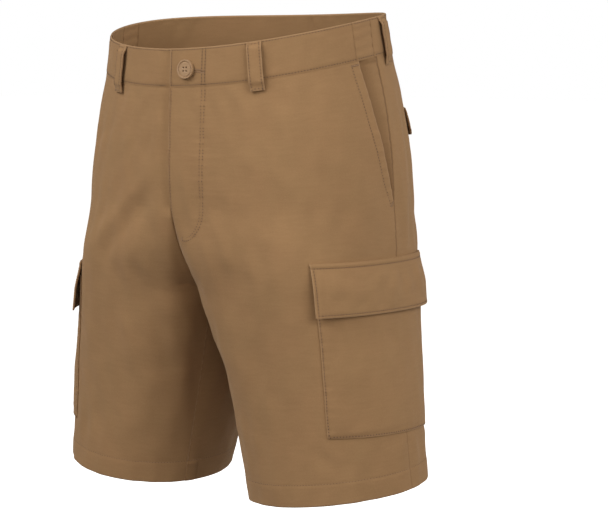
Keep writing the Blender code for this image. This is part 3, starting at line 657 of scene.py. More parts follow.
def frontOut(side, depth, along):
    edge = frontEdge(depth) - along
    fromMiddle = along + reach(depth, -1)
    out = fineRelief(side, depth, along) + mouthLip(depth, along) + hemOut(depth)
    out += groove(distanceTo(thin(frontStitches[side]), depth, along))
    out += hem["groove"] * groove(depth - hem["stitch"])
    out += puckers(np.maximum(edge, 0), depth, side)
    mouthSpan = ramp(depth, pocket["puckerFrom"], 0.03)
    mouthSpan = mouthSpan * (1 - ramp(depth, pocket["mouthEnd"] - 0.006, 0.01))
    turns = 2 * math.pi * depth / pocket["puckerPitch"]
    wave = np.sin(turns + 0.5) + 0.5 * np.sin(turns / 1.7 + 2 * side)
    out += pocket["pucker"] * mouthSpan * wave * bell(edge - pocket["puckerIn"], pocket["puckerIn"])
    belowFly = softStep((depth - fly["end"] - 0.01) / 0.012)
    if side < 0:
        out += flySink(depth, fromMiddle)
        seamed = belowFly
    else:
        seamed = 0.35 + 0.65 * belowFly
        out += fly["edgeLift"] * (1 - belowFly) * bell(fromMiddle, fly["edgeSpread"])
        out += flyPuff(side, depth, along)
    out += seamed * rolled(np.maximum(fromMiddle, 0))
    out += rolled(np.maximum(edge, 0)) * np.where(depth < pocket["mouthEnd"], 0.6, 1.0)
    out += 0.4 * rolled(depth - form["bandEnd"])
    return out


def backOut(side, depth, along):
    fromMiddle = reach(depth, 1) - along
    out = fineRelief(side, depth, along) + hemOut(depth)
    out += hem["groove"] * groove(depth - hem["stitch"])
    out += puckers(np.maximum(along, 0), depth, side) + puckers(np.maximum(fromMiddle, 0), depth, 1.5)
    out += rolled(np.maximum(along, 0)) + rolled(np.maximum(fromMiddle, 0))
    out += 0.4 * rolled(depth - form["bandEnd"]) + hemBar(depth, fromMiddle)[0]
    return out


def facingEdge(depth):
    return np.minimum(mouth(np.minimum(depth, pocket["mouthEnd"])), -form["seam"])


def facingOut(side, depth, along):
    edge = facingEdge(depth)
    under = form["wall"] + form["seam"] + form["slide"] + pocket["facingSink"]
    room = np.clip(-edge / pocket["fullWidth"], 0.05, 1)
    shown = softStep((along - edge - pocket["facingLevel"] * room) / (pocket["facingRamp"] * room))
    out = shown * (rolled(-along) + puckers(-along, depth, side) + fineRelief(side, depth, along))
    return out - under * (1 - shown) + pocket["facingTop"] * rolled(depth - form["bandEnd"])


# Making a cloth piece from its places

edges = {"segments": 2, "angle": math.radians(60), "samples": 2000}
# how far around a place the points are drawn together, and their spacing there
closeTo = {"panelEdge": (0.0022, 0.0005), "backEdge": (0.0022, 0.0006), "panelTop": (0.003, 0.0006),
           "hemRow": (0.003, 0.0007), "flyEdge": (0.0012, 0.0006), "flyRows": (0.004, 0.0009),
           "innerRow": (0.002, 0.0008), "row": (0.0015, 0.0006), "topRow": (0.0015, 0.0005),
           "rim": (0.0016, 0.0003), "top": (0.0016, 0.0004), "patchEdge": (0.0018, 0.0004),
           "bandEdge": (0.0016, 0.0005), "bandTop": (0.0014, 0.0003), "bandRow": (0.0012, 0.0005),
           "lapEdge": (0.0020, 0.0004), "insertEdge": (0.0015, 0.0004)}


def spacing(length, coarse, marks=()):
    # positions from 0 to length, closer together near each mark (place, spread, spacing)
    x = np.linspace(0, length, edges["samples"])
    density = np.full(len(x), 1 / coarse)
    for where, spread, fine in marks:
        density = np.maximum(density, (1 / fine) * np.exp(-np.abs(x - where) / spread))
    total = np.concatenate([[0.0], np.cumsum((density[1:] + density[:-1]) / 2 * np.diff(x))])
    return np.interp(np.linspace(0, total[-1], int(round(total[-1])) + 1), total, x)


def selectOnly(thing):
    bpy.ops.object.select_all(action="DESELECT")
    thing.select_set(True)
    bpy.context.view_layer.objects.active = thing


def bevelEdges(thing, width, angle):
    edge = thing.modifiers.new("edges", "BEVEL")
    edge.width = width
    edge.segments = edges["segments"]
    edge.limit_method = "ANGLE"
    edge.angle_limit = angle


def applyAll(thing):
    selectOnly(thing)
    for modifier in list(thing.modifiers):
        bpy.ops.object.modifier_apply(modifier=modifier.name)


def dress(piece, *nodes, slot="twill"):
    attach(piece, "root")
    if nodes:
        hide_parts(*nodes)


def clothPiece(node, side, points, uv, wall, shade, bevel, thick=None, slot="twill"):
    # a grid whose points are set to the cloth's, given its wall on the inside
    rows, cols = points.shape[:2]
    bpy.ops.mesh.primitive_grid_add(x_subdivisions=cols - 1, y_subdivisions=rows - 1, size=1)
    piece = bpy.context.object
    mesh = piece.data
    piece.name = mesh.name = node + "_cloth"
    mesh.vertices.foreach_set("co", points[::-1].reshape(-1))
    order = np.zeros(len(mesh.loops), int)
    mesh.loops.foreach_get("vertex_index", order)
    layer = mesh.uv_layers.active or mesh.uv_layers.new(name="UVMap")
    layer.data.foreach_set("uv", uv[::-1].reshape(-1, 2)[order].reshape(-1))
    for word, values in shade.items():
        made = mesh.attributes.new(word, "FLOAT", "POINT")
        made.data.foreach_set("value", np.ascontiguousarray(values[::-1]).reshape(-1))
    if side < 0:
        mesh.flip_normals()
    mesh.update()
    solid = piece.modifiers.new("wall", "SOLIDIFY")
    solid.thickness = wall
    solid.offset = -1.0
    if thick is not None:
        group = piece.vertex_groups.new(name="thick")
        values = np.round(thick[::-1].reshape(-1), 2)
        for level in np.unique(values):
            group.add(np.flatnonzero(values == level).tolist(), float(level), "REPLACE")
        solid.vertex_group = "thick"
    if bevel:
        bevelEdges(piece, bevel, edges["angle"])
    applyAll(piece)
    mesh.materials.clear()
    mesh.materials.append(finishes[slot])
    mesh.shade_smooth()
    dress(piece, node, slot=slot)
    return piece


# Materials

weave = {"ribs": 1250.0, "uneven": 0.5, "wobble": 180.0, "wobbleTurns": 6.28, "slope": 0.55,
         "threads": 1.9, "ribHeight": 0.35, "threadHeight": 0.12}
washed = (
    # input, size, detail, stretch
    ("Clouds", 34.0, 4.0, (1, 1, 1)),
    ("Slubs", 300.0, 2.0, (0.16, 1, 1)),
    ("Grain", 620.0, 3.0, (1, 1, 1)),
)
cloth = {
    "tan": (0.352, 0.200, 0.095), "olive": (0.340, 0.204, 0.095), "worn": (0.47, 0.31, 0.185),
    # the deep colour is painted shade, mixed in by the seam mark; the light worn colour is partly real wear
    # and partly painted highlight on edges
    "deep": (0.120, 0.055, 0.020), "roughness": 0.90, "sheen": 0.10, "sheenRoughness": 0.40,
    "sheenTint": (1.0, 0.86, 0.70, 1.0), "specular": 0.15, "clouds": 0.15, "slubs": 0.13, "grain": 0.20,
    "hueSize": 21.0, "wornShare": 0.55, "ribTone": 0.12, "roughSpread": -0.2, "toneHeight": 1.6,
    "bump": 0.35, "bumpDeep": 0.00022, "bandShade": 0.98,
}
# the dark thread colour is painted shade at stitch ends and over needle holes
thread = {"pale": (0.345, 0.200, 0.098), "dark": (0.060, 0.027, 0.011), "twist": 2600.0, "sheen": 0.05,
          "twistTone": 0.25, "darkShare": 0.85, "roughness": 0.6, "bump": 0.4, "bumpDeep": 0.0001}
horn = {"dark": (0.330, 0.195, 0.095), "pale": (0.430, 0.270, 0.145), "swirl": 420.0, "wind": 1.6,
        "specular": 0.45, "roughness": 0.3, "bump": 0.15, "bumpDeep": 0.0002}
twistRough = 0.2


def newGroup(name, inputs, outputs):
    group = bpy.data.node_groups.new(name, "ShaderNodeTree")
    for word, kind, value in inputs:
        socket = group.interface.new_socket(word, in_out="INPUT", socket_type=kind)
        if value is not None:
            socket.default_value = value
    for word in outputs:
        group.interface.new_socket(word, in_out="OUTPUT", socket_type="NodeSocketFloat")
    return group, group.nodes.new("NodeGroupInput").outputs, group.nodes.new("NodeGroupOutput").inputs


def newFinish(name, **values):
    made = bpy.data.materials.new(name)
    made.use_nodes = True
    sockets = made.node_tree.nodes["Principled BSDF"].inputs
    for word, value in values.items():
        sockets[word.replace("_", " ")].default_value = value
    return made, made.node_tree, sockets


def addNode(tree, kind, settings=None, **values):
    # a socket is named with _ for each space, or by its number after a _
    node = tree.nodes.new(kind)
    for word, value in (settings or {}).items():
        setattr(node, word, value)
    for word, value in values.items():
        feed(tree, node.inputs[int(word[1:]) if word[0] == "_" else word.replace("_", " ")], value)
    return node


def feed(tree, socket, value):
    if isinstance(value, bpy.types.NodeSocket):
        tree.links.new(value, socket)
    else:
        socket.default_value = value


def mathNode(tree, operation, *values):
    node = addNode(tree, "ShaderNodeMath", {"operation": operation})
    for i, value in enumerate(values):
        feed(tree, node.inputs[i], value)
    return node.outputs[0]


def mixNode(tree, factor, a, b):
    a, b = ((*value, 1) if isinstance(value, tuple) else value for value in (a, b))
    return addNode(tree, "ShaderNodeMix", {"data_type": "RGBA"}, A=a, B=b, Factor=factor).outputs["Result"]


def bumpNode(tree, height, values):
    return addNode(tree, "ShaderNodeBump", Strength=values["bump"], Distance=values["bumpDeep"],
                   Height=height).outputs["Normal"]


def makeWeave():
    # twill: steep diagonal ribs crossed by finer threads, broken up a little
    group, start, end = newGroup(
        "twillWeave", (("Vector", "NodeSocketVector", None), ("Ribs", "NodeSocketFloat", weave["ribs"]),
                       ("Uneven", "NodeSocketFloat", weave["uneven"])), ("Height",))
    split = addNode(group, "ShaderNodeSeparateXYZ", _0=start["Vector"]).outputs
    wobble = addNode(group, "ShaderNodeTexNoise", Vector=start["Vector"], Scale=weave["wobble"], Detail=2.0)
    shift = mathNode(group, "SUBTRACT", wobble.outputs["Fac"], 0.5)
    shift = mathNode(group, "MULTIPLY", shift, start["Uneven"])
    diagonal = mathNode(group, "MULTIPLY_ADD", split["Y"], weave["slope"], split["X"])
    turns = mathNode(group, "MULTIPLY_ADD", diagonal, start["Ribs"],
                     mathNode(group, "MULTIPLY", shift, weave["wobbleTurns"]))
    across = mathNode(group, "MULTIPLY", start["Ribs"], weave["threads"])
    across = mathNode(group, "MULTIPLY", split["Y"], across)
    ribs, threads = (mathNode(group, "SINE", mathNode(group, "MULTIPLY", value, 2 * math.pi))
                     for value in (turns, across))
    threads = mathNode(group, "MULTIPLY_ADD", threads, weave["threadHeight"], 0.5)
    feed(group, end["Height"], mathNode(group, "MULTIPLY_ADD", ribs, weave["ribHeight"], threads))
    return group


def makeTone():
    # washed cotton: soft clouds, slubs along the warp and fine grain, each around zero
    amounts = [(row[0], "NodeSocketFloat", 0.3) for row in washed]
    inputs = [("Vector", "NodeSocketVector", None), *amounts]
    group, start, end = newGroup("washedTone", inputs, ("Tone", "Hue"))
    total = 0.0
    for word, size, detail, stretch in washed:
        shape = addNode(group, "ShaderNodeVectorMath", {"operation": "MULTIPLY"},
                        _0=start["Vector"], _1=stretch)
        noise = addNode(group, "ShaderNodeTexNoise", Vector=shape.outputs[0], Scale=size, Detail=detail,
                        Roughness=0.6)
        centred = mathNode(group, "SUBTRACT", noise.outputs["Fac"], 0.5)
        total = mathNode(group, "MULTIPLY_ADD", centred, start[word], total)
    hue = addNode(group, "ShaderNodeTexNoise", Vector=start["Vector"], Scale=cloth["hueSize"], Detail=3.0)
    feed(group, end["Tone"], total)
    feed(group, end["Hue"], hue.outputs["Fac"])
    return group


weaveGroup = makeWeave()
toneGroup = makeTone()


def twillFinish(name, shadeOf):
    made, tree, shader = newFinish(
        name, Sheen_Weight=cloth["sheen"], Sheen_Roughness=cloth["sheenRoughness"],
        Sheen_Tint=cloth["sheenTint"], Specular_IOR_Level=cloth["specular"])
    where = addNode(tree, "ShaderNodeUVMap", {"uv_map": "UVMap"}).outputs["UV"]
    washing = addNode(tree, "ShaderNodeGroup", {"node_tree": toneGroup}, Vector=where,
                      Clouds=cloth["clouds"], Slubs=cloth["slubs"], Grain=cloth["grain"]).outputs
    height = addNode(tree, "ShaderNodeGroup", {"node_tree": weaveGroup}, Vector=where).outputs["Height"]
    wearAndHighlight, seam = (addNode(tree, "ShaderNodeAttribute", {"attribute_name": word}).outputs["Fac"]
                  for word in ("wearAndHighlight", "seam"))
    tan, olive = (tuple(c * shadeOf for c in cloth[word]) for word in ("tan", "olive"))
    colour = mixNode(tree, washing["Hue"], tan, olive)
    # worn edges: partly real wear, partly a painted highlight on edges that catch the light
    colour = mixNode(tree, mathNode(tree, "MULTIPLY", wearAndHighlight, cloth["wornShare"]), colour, cloth["worn"])
    # painted shade: the seam mark darkens the cloth along seams and stitching, in recesses and under edges
    colour = mixNode(tree, seam, colour, cloth["deep"])

    bright = mathNode(tree, "ADD", washing["Tone"], 1.0)
    ribs = mathNode(tree, "MULTIPLY_ADD", height, cloth["ribTone"], 1 - cloth["ribTone"] / 2)
    toned = addNode(tree, "ShaderNodeVectorMath", {"operation": "SCALE"}, _0=colour,
                    Scale=mathNode(tree, "MULTIPLY", bright, ribs))
    feed(tree, shader["Base Color"], toned.outputs[0])
    feed(tree, shader["Roughness"],
         mathNode(tree, "MULTIPLY_ADD", washing["Tone"], cloth["roughSpread"], cloth["roughness"]))
    height = mathNode(tree, "MULTIPLY_ADD", washing["Tone"], cloth["toneHeight"], height)
    feed(tree, shader["Normal"], bumpNode(tree, height, cloth))
    return made


def threadFinish():
    # matching sewing thread: twisted, a little lighter than the cloth, with painted shade where it dives in
    # and over its needle holes
    made, tree, shader = newFinish("thread", Sheen_Weight=thread["sheen"])
    where = addNode(tree, "ShaderNodeTexCoord").outputs["Object"]
    twist = addNode(tree, "ShaderNodeTexNoise", Vector=where, Scale=thread["twist"],
                    Detail=2.0).outputs["Fac"]
    # painted shade at the stitch ends and on the needle-hole beads
    tipShade = addNode(tree, "ShaderNodeAttribute", {"attribute_name": "tipShade"}).outputs["Fac"]
    fade = mathNode(tree, "MULTIPLY_ADD", twist, thread["twistTone"], tipShade)
    fade = mathNode(tree, "MULTIPLY", fade, thread["darkShare"])
    feed(tree, shader["Base Color"], mixNode(tree, fade, thread["pale"], thread["dark"]))
    feed(tree, shader["Roughness"], mathNode(tree, "MULTIPLY_ADD", twist, twistRough, thread["roughness"]))
    feed(tree, shader["Normal"], bumpNode(tree, twist, thread))
    return made


def buttonFinish():
    # pale horn-like plastic with faint swirls
    made, tree, shader = newFinish("buttonPlastic", Specular_IOR_Level=horn["specular"])
    where = addNode(tree, "ShaderNodeTexCoord").outputs["Object"]
    swirl = addNode(tree, "ShaderNodeTexNoise", Vector=where, Scale=horn["swirl"], Detail=4.0,
                    Distortion=horn["wind"]).outputs["Fac"]
    feed(tree, shader["Base Color"], mixNode(tree, swirl, horn["dark"], horn["pale"]))
    feed(tree, shader["Roughness"], mathNode(tree, "MULTIPLY_ADD", swirl, twistRough, horn["roughness"]))
    feed(tree, shader["Normal"], bumpNode(tree, swirl, horn))
    return made


finishes = {"twill": twillFinish("tanTwill", 1.0),
            "band_twill": twillFinish("bandTwill", cloth["bandShade"]),
            "button": buttonFinish()}
threadMaterial = threadFinish()
print("materials ready")


# Marks that the materials read: edges lightened by wear and by painted highlight, and painted shade along
# seams, stitching and under edges

# strength and spread of the painted shade along seams and stitching, and of the lighter edges, part wear
# and part painted highlight
mark = {"seam": 0.30, "seamShadeSpread": 0.0009, "stitch": 0.13, "stitchShadeSpread": 0.0010,
        "wearAndHighlight": 0.60, "wearAndHighlightSpread": 0.0009, "rightHalf": 0.7}
farAway = 1.0


def marks(seamAt, edgeAt, stitchAt):
    # from the distances to the nearest seam, edge and stitching: painted shade along seams and stitching,
    # and lighter edges, part wear and part painted highlight
    seamAt, edgeAt, stitchAt = np.broadcast_arrays(seamAt, edgeAt, stitchAt)
    seam = mark["seam"] * bell(seamAt, mark["seamShadeSpread"])
    seam = seam + mark["stitch"] * bell(stitchAt, mark["stitchShadeSpread"])
    return {"seam": np.clip(seam, 0, 1), "wearAndHighlight": mark["wearAndHighlight"] * bell(edgeAt, mark["wearAndHighlightSpread"])}


def deepen(shade, values, word="seam"):
    # a mark rises to the larger value; by default it is the painted shade
    shade[word] = np.maximum(shade[word], values)


def laid(along, depth, side=1):
    # places on the cloth as its UV, the right half's beside the left half's
    return np.stack([along + mark["rightHalf"] * (side < 0), -depth], axis=-1)


# Panels

# lit is a painted highlight along the inseam; tack a painted shade at the mouth's bar tack
panels = {"coarse": 0.0022, "backCoarse": 0.00231, "frontWide": 0.250, "backWide": 0.270,
          "hemThick": 0.0025, "hemFrom": 0.0010, "bevel": 0.00035, "bandOff": 0.0011, "sideOff": 0.0002,
          "flyBelow": 0.0060, "lapShares": (-1.0, -0.75, -0.5, -0.3, -0.15, -0.06), "leastLap": 0.0004,
          "lit": 0.9, "litSpread": 0.0012, "tack": 0.38, "tackShadeSpread": 0.0028, "tackIn": 0.0030,
          "tackUp": 0.0010}


def panelGrid(wide, coarse, closeAcross, lapped=()):
    # rows down a panel, and shares of the way across it
    top = form["bandEnd"] + form["gap"] / 2
    length = form["hem"] - top
    levels = top + spacing(length, panels["coarse"], (
        (0.0, *closeTo["panelTop"]), (hem["stitch"] - top, *closeTo["hemRow"]),
        (length, *closeTo["panelEdge"])))
    shares = np.concatenate([lapped, spacing(wide, coarse, closeAcross) / wide])
    return np.meshgrid(levels, shares, indexing="ij")


def panelPiece(node, side, depth, along, out, shade):
    thick = np.where(depth > hem["stitch"] - panels["hemFrom"], 1.0, form["wall"] / panels["hemThick"])
    return clothPiece(node, side, place(side, depth, along, out), laid(along, depth, side),
                      panels["hemThick"], shade, panels["bevel"], thick)


def frontPanel(side, word):
    wide = panels["frontWide"]
    level, share = panelGrid(wide, panels["coarse"], (
        (0.0, *closeTo["panelEdge"]), (fly["edgeStitch"], *closeTo["flyEdge"]),
        (wide - pocket["stitchIn"], *closeTo["innerRow"]), (wide, *closeTo["panelEdge"]),
        (fly["rowIn"] + fly["rowsMiddle"], *closeTo["flyRows"])), panels["lapShares"] if side < 0 else ())
    clear = np.maximum(share, 0)
    depth = rowDepth(level, 1 - clear, -1)
    inner = -rowReach(level, -1)
    along = inner + (frontEdge(depth) - inner) * clear
    lap = fly["lap"] * (1 - ramp(depth, fly["end"] + 0.3 * fly["soften"], fly["soften"]))
    along += np.minimum(share, 0) * np.maximum(lap, panels["leastLap"])

    stitched = distanceTo(thin(frontStitches[side]), depth, along)
    stitched = np.minimum(stitched, np.abs(depth - hem["stitch"]) + hem["shade"])
    edge = np.maximum(frontEdge(depth) - along, 0)
    fromMiddle = np.abs(along + reach(depth, -1))
    atMouth = depth < pocket["mouthEnd"]
    onInseam = depth > form["crotch"] + pocket["inseamFrom"]
    onEdge = onInseam | ((depth < fly["end"] + panels["flyBelow"]) & (side > 0))
    seamAt = [np.where(atMouth, farAway, edge + panels["sideOff"]), np.where(onEdge, farAway, fromMiddle),
              depth - form["bandEnd"] + panels["bandOff"]]
    edgeAt = [np.where(atMouth, edge, farAway), np.where(onEdge, fromMiddle, farAway), form["hem"] - depth]
    shade = marks(np.min(seamAt, axis=0), np.min(edgeAt, axis=0), stitched)
    # painted highlight along the inseam's edge, on the lighter-edge mark
    deepen(shade, panels["lit"] * bell(fromMiddle, panels["litSpread"]) * onInseam, "wearAndHighlight")
    # painted shade around the mouth's lower bar tack
    tack = np.hypot(depth - pocket["mouthEnd"] + panels["tackUp"], edge - panels["tackIn"])
    deepen(shade, panels["tack"] * bell(tack, panels["tackShadeSpread"]))
    piece = panelPiece("front_" + word, side, depth, along, frontOut(side, depth, along), shade)


def backPanel(side, word):
    wide = panels["backWide"]
    level, share = panelGrid(wide, panels["backCoarse"], (
        (0.0, *closeTo["panelEdge"]), (wide, *closeTo["backEdge"]),
        (wide - hem["barWidth"], *closeTo["innerRow"])))
    depth = rowDepth(level, share, 1)
    start = form["gap"] / 2
    along = start + (rowReach(level, 1) - start) * share
    fromMiddle = reach(depth, 1) - along
    seamAt = np.minimum(along, np.abs(fromMiddle))
    seamAt = np.minimum(seamAt, depth - form["bandEnd"] + panels["bandOff"])
    shade = marks(seamAt, form["hem"] - depth, np.abs(depth - hem["stitch"]) + hem["shade"])
    # painted shade along the hem bar's far edge, and along the side seam beside the pocket
    deepen(shade, hem["barShade"] * hemBar(depth, fromMiddle)[1])
    deepen(shade, pocket["sideShade"] * bell(along, pocket["sideSpread"]) * (depth < cargo["top"]))
    piece = panelPiece("back_" + word, side, depth, along, backOut(side, depth, along), shade)


def facingPiece(side, word):
    top = form["bandEnd"] - pocket["facingAbove"]
    end = pocket["mouthEnd"] + pocket["facingBelow"]
    depth, share = np.meshgrid(np.linspace(top, end, 90), np.linspace(0, 1, 40), indexing="ij")
    edge = facingEdge(depth)
    start = edge - pocket["facingUnder"]
    along = start + (-form["gap"] / 2 - start) * share
    belowBand = depth - form["bandEnd"]
    shade = marks(np.minimum(-along, belowBand), farAway, farAway)
    # painted shadow of the mouth's edge over the facing, painted shade under the band and along the side
    # seam
    deepen(shade, pocket["shade"] * np.exp(-np.maximum(along - edge, 0) / pocket["shadeSpread"]))
    deepen(shade, pocket["topShade"] * bell(belowBand - pocket["topShadeAt"], pocket["topShadeSpread"]))
    deepen(shade, pocket["sideShade"] * bell(along, pocket["sideSpread"]))
    points = place(side, depth, along, facingOut(side, depth, along))
    piece = clothPiece("pocket_facing_" + word, side, points, laid(along * 1.02 + 0.33, depth, side),
                       form["wall"], shade, 0)


for side, word in sideWords.items():
    frontPanel(side, word)
    backPanel(side, word)
    facingPiece(side, word)
print("panels ready")


# Waistband

band = {"proud": 0.0006, "lowProud": 0.00015, "lowSpread": 0.0050, "lap": 0.0350, "bevel": 0.0006,
        "insertFront": -0.0310, "insertBack": -0.0040, "frontWide": 0.200, "backWide": 0.265,
        "spacing": 0.0016, "insertSpacing": 0.0012, "rowSpacing": 0.0017, "topRow": 0.0018,
        "lowRow": 0.0370, "stitchEdge": 0.0025, "middleRows": (0.0408, 0.0445), "roundTop": 0.0010,
        "seamOff": 0.0012, "bodyFrom": 0.0020, "bodyUntil": 0.0310, "bodySoft": 0.0060, "wave": 0.00012,
        "wavePitch": 0.0210, "waveSpread": 0.0040, "gatherPitch": 0.0105, "gather": 0.00035,
        "uvDown": 0.31, "middleAt": 0.0425, "rowStart": 0.0022, "rowStartUnder": 0.0045, "rowOff": 0.001,
        "rowEnd": 0.0005}

# slitShade is painted shade in and around the buttonhole's slit
button = {"fromMiddle": 0.0225, "depth": 0.0212, "radius": 0.0095, "thick": 0.0030, "rim": 0.0011,
          "ring": 0.0005, "ringDeep": 0.0010, "dish": 0.0003, "middle": 0.0010, "hole": 0.00088,
          "holesOut": 0.0025, "standOff": 0.0008, "sides": 64, "holeSides": 24, "bevel": 0.00030,
          "threadSunk": 0.00025, "thread": 0.00045, "slitDrop": 0.16, "slitStart": 0.0010,
          "slitEnd": 0.0195, "slitHalf": 0.0011, "slitReach": 0.0008, "slitStitch": 0.0018,
          "slitStitches": 89, "slitShade": 0.42, "slitSpread": 0.0017}


def bandSeam(depth):
    return form["bandEnd"] - depth + band["seamOff"]


def bandRound(depth):
    # folded top edge, and the lower edge pressed into its seam
    low = form["bandEnd"] - depth
    down = (band["lowProud"] - band["proud"]) * (1 - softStep(low / band["lowSpread"]))
    top = -band["roundTop"] * (1 - np.sqrt(1 - (1 - np.clip(depth / band["roundTop"], 0, 1)) ** 2))
    return top + down + 0.3 * rolled(low)


def bandOut(side, depth, along, gathered=False):
    out = band["proud"] + bandRound(depth)
    rows = np.minimum(np.abs(depth - band["topRow"]), np.abs(depth - band["lowRow"]))
    out = out + 0.7 * groove(rows)
    body = ramp(depth, band["bodyFrom"], band["bodySoft"])
    body = body * (1 - ramp(depth, band["bodyUntil"], band["bodySoft"]))
    out += 0.5 * ripple(side, depth * 1.4 + 0.6, along * 1.3) * body
    run = (along + 0.004 * np.sin(along * 60)) / band["wavePitch"]
    wave = band["wave"] * np.sin(2 * math.pi * run + side)
    out += wave * bell(depth - band["lowRow"], band["waveSpread"])
    if gathered:
        out += band["gather"] * np.sin(2 * math.pi * depth / band["gatherPitch"] + 60 * along + side) * body
    return out


def bandGrid(across):
    marked = ((0.0, *closeTo["bandTop"]), (band["topRow"], *closeTo["bandRow"]),
              (band["lowRow"], *closeTo["bandEdge"]))
    depths = spacing(form["bandEnd"] - form["gap"] / 2, band["rowSpacing"], marked)
    return np.meshgrid(depths, across, indexing="ij")


def bandPiece(node, side, points, run, depth, shade):
    return clothPiece(node, side, points, laid(run, depth - band["uvDown"], side), form["bandWall"], shade,
                      band["bevel"], slot="band_twill")


def bandFront(side, word):
    extra = band["lap"] if side < 0 else 0.0
    length = band["frontWide"] + extra
    depth, share = bandGrid(spacing(length, band["spacing"], (
        (extra, *closeTo["lapEdge"]), (length, *closeTo["bandEdge"]),
        (extra + band["middleAt"], *closeTo["flyRows"]))) / length)
    inner = -reach(depth, -1) - extra
    outer = band["insertFront"] - form["gap"] / 2
    along = inner + (outer - inner) * share
    fromMiddle = along + reach(depth, -1)
    out = bandOut(side, depth, along) + 0.8 * rolled(outer - along)
    stitched = np.abs(depth - band["lowRow"])
    edgeAt = depth
    if side < 0:
        under = 1 - ramp(fromMiddle, fly["level"], fly["ramp"])
        out -= (form["bandWall"] + form["seam"] + form["slide"]) * under
    else:
        rows = (*band["middleRows"], band["stitchEdge"])
        rows = np.min([np.abs(fromMiddle - row) for row in rows], axis=0)
        out += 0.7 * groove(rows) + 0.6 * rolled(np.maximum(fromMiddle, 0))
        stitched = np.minimum(stitched, rows)
        edgeAt = np.minimum(depth, fromMiddle)
    shade = marks(np.minimum(bandSeam(depth), outer - along), edgeAt, stitched)
    # painted shade in and around the buttonhole's slit
    if side > 0:
        fromButton = fromMiddle - button["fromMiddle"]
        run = np.clip(fromButton, 0, button["slitEnd"])
        off = np.hypot(fromButton - run, depth - button["depth"] - button["slitDrop"] * run)
        deepen(shade, button["slitShade"] * bell(off, button["slitSpread"]))
    points = place(side, depth, along, out)
    piece = bandPiece("waistband_front_" + word, side, points, along + 0.1, depth, shade)


def bandInsert(side, word):
    start = band["insertFront"] + form["gap"] / 2
    end = band["insertBack"] - form["gap"] / 2
    atEnds = [(where, *closeTo["insertEdge"]) for where in (0.0, end - start)]
    depth, along = bandGrid(start + spacing(end - start, band["insertSpacing"], atEnds))
    edge = np.minimum(along - start, end - along)
    points = place(side, depth, along, bandOut(side, depth, along, True) + rolled(edge))
    shade = marks(np.minimum(edge, bandSeam(depth)), depth, np.abs(depth - band["lowRow"]))
    piece = bandPiece("waistband_side_" + word, side, points, along + 0.23, depth, shade)


def bandBack():
    share = spacing(band["backWide"], band["spacing"], ((0.0, *closeTo["bandEdge"]),)) / band["backWide"]
    depth, share = bandGrid(np.concatenate([share, 2 - share[-2::-1]]))
    start = band["insertBack"] + form["gap"] / 2
    onLeft = share <= 1
    clear = np.where(onLeft, share, 2 - share)
    along = start + (reach(depth, 1) - start) * clear
    left, right = (place(side, depth, along, bandOut(side, depth, along) + rolled(along - start))
                   for side in sideWords)
    points = np.where(onLeft[..., None], left, right)
    points[..., 0] = np.where(clear > 0.9999, 0.0, points[..., 0])
    shade = marks(np.minimum(bandSeam(depth), along - start), depth, np.abs(depth - band["lowRow"]))
    run = np.where(onLeft, along, 2 * reach(0.02, 1) - along)
    piece = bandPiece("waistband_back", 1, points, run + 0.4, depth, shade)


for side, word in sideWords.items():
    bandFront(side, word)
    bandInsert(side, word)
bandBack()
print("waistband ready")


# Belt loops

loops = {"left": {"front": 0.218, "side": 0.563, "back": 0.815},
         "right": {"front": 0.178, "side": 0.563, "back": 0.815},
         "width": 0.0149, "top": 0.0006, "end": 0.0495, "slant": 0.0016, "slot": 0.0034, "wall": 0.0016,
         "edgeStitch": 0.0020, "tackIn": 0.0022, "tackHalf": 0.0054, "roll": 0.00045, "twist": 0.00016,
         "bevel": 0.0003, "down": (0.0, 0.07, 0.16, 0.5, 0.80, 0.91, 1.0),
         "lift": (0.0, 0.3, 1.0, 1.06, 1.0, 0.3, 0.0),
         "across": (0.2, 0.4, 0.6, 0.7, 0.78, 0.88, 0.95, 0.985, 1), "ends": (0.004, 0.012, 0.988, 0.996)}
rimSpread = 0.0007


def loopSurface(side, share):
    def surface(down, across):
        # down runs 0 to 1 from the top to the end, across is metres from the loop's middle line
        depth = loops["top"] + (loops["end"] - loops["top"]) * down
        frontReach = reach(depth, -1)
        along = share * (frontReach + reach(depth, 1)) - frontReach + across + loops["slant"] * down
        lift = monotone(loops["down"], loops["lift"], down)
        out = band["proud"] + form["slide"] + loops["wall"] + (loops["slot"] - form["slide"]) * lift
        edge = loops["width"] / 2 - np.abs(across)
        out = out - loops["roll"] * bell(edge, rimSpread) + 0.8 * groove(np.abs(edge - loops["edgeStitch"]))
        out += loops["twist"] * np.sin(down * 19 + side * 2 + share * 9) * np.sin(across * 300)
        return place(side, depth, along, out)
    return surface


def beltLoop(where, side, word, share):
    down = np.unique(np.concatenate([np.linspace(0, 1, 44), loops["ends"]]))
    half = loops["width"] / 2
    steps = np.array(loops["across"])
    across = np.concatenate([-steps[::-1], [0], steps]) * half
    down, across = np.meshgrid(down, across, indexing="ij")
    edge = half - np.abs(across)
    length = loops["end"] - loops["top"]
    ends = np.minimum(down, 1 - down) * length
    shade = marks(farAway, np.minimum(edge, ends + 0.0003), np.abs(edge - loops["edgeStitch"]))
    node = "belt_loop_" + where + "_" + word
    piece = clothPiece(node, side, loopSurface(side, share)(down, across),
                       laid(across + share, down * length - 0.55), loops["wall"], shade, loops["bevel"])


for side, word in sideWords.items():
    for where, share in loops[word].items():
        beltLoop(where, side, word, share)
print("belt loops ready")


# Cargo pockets: patch and flap

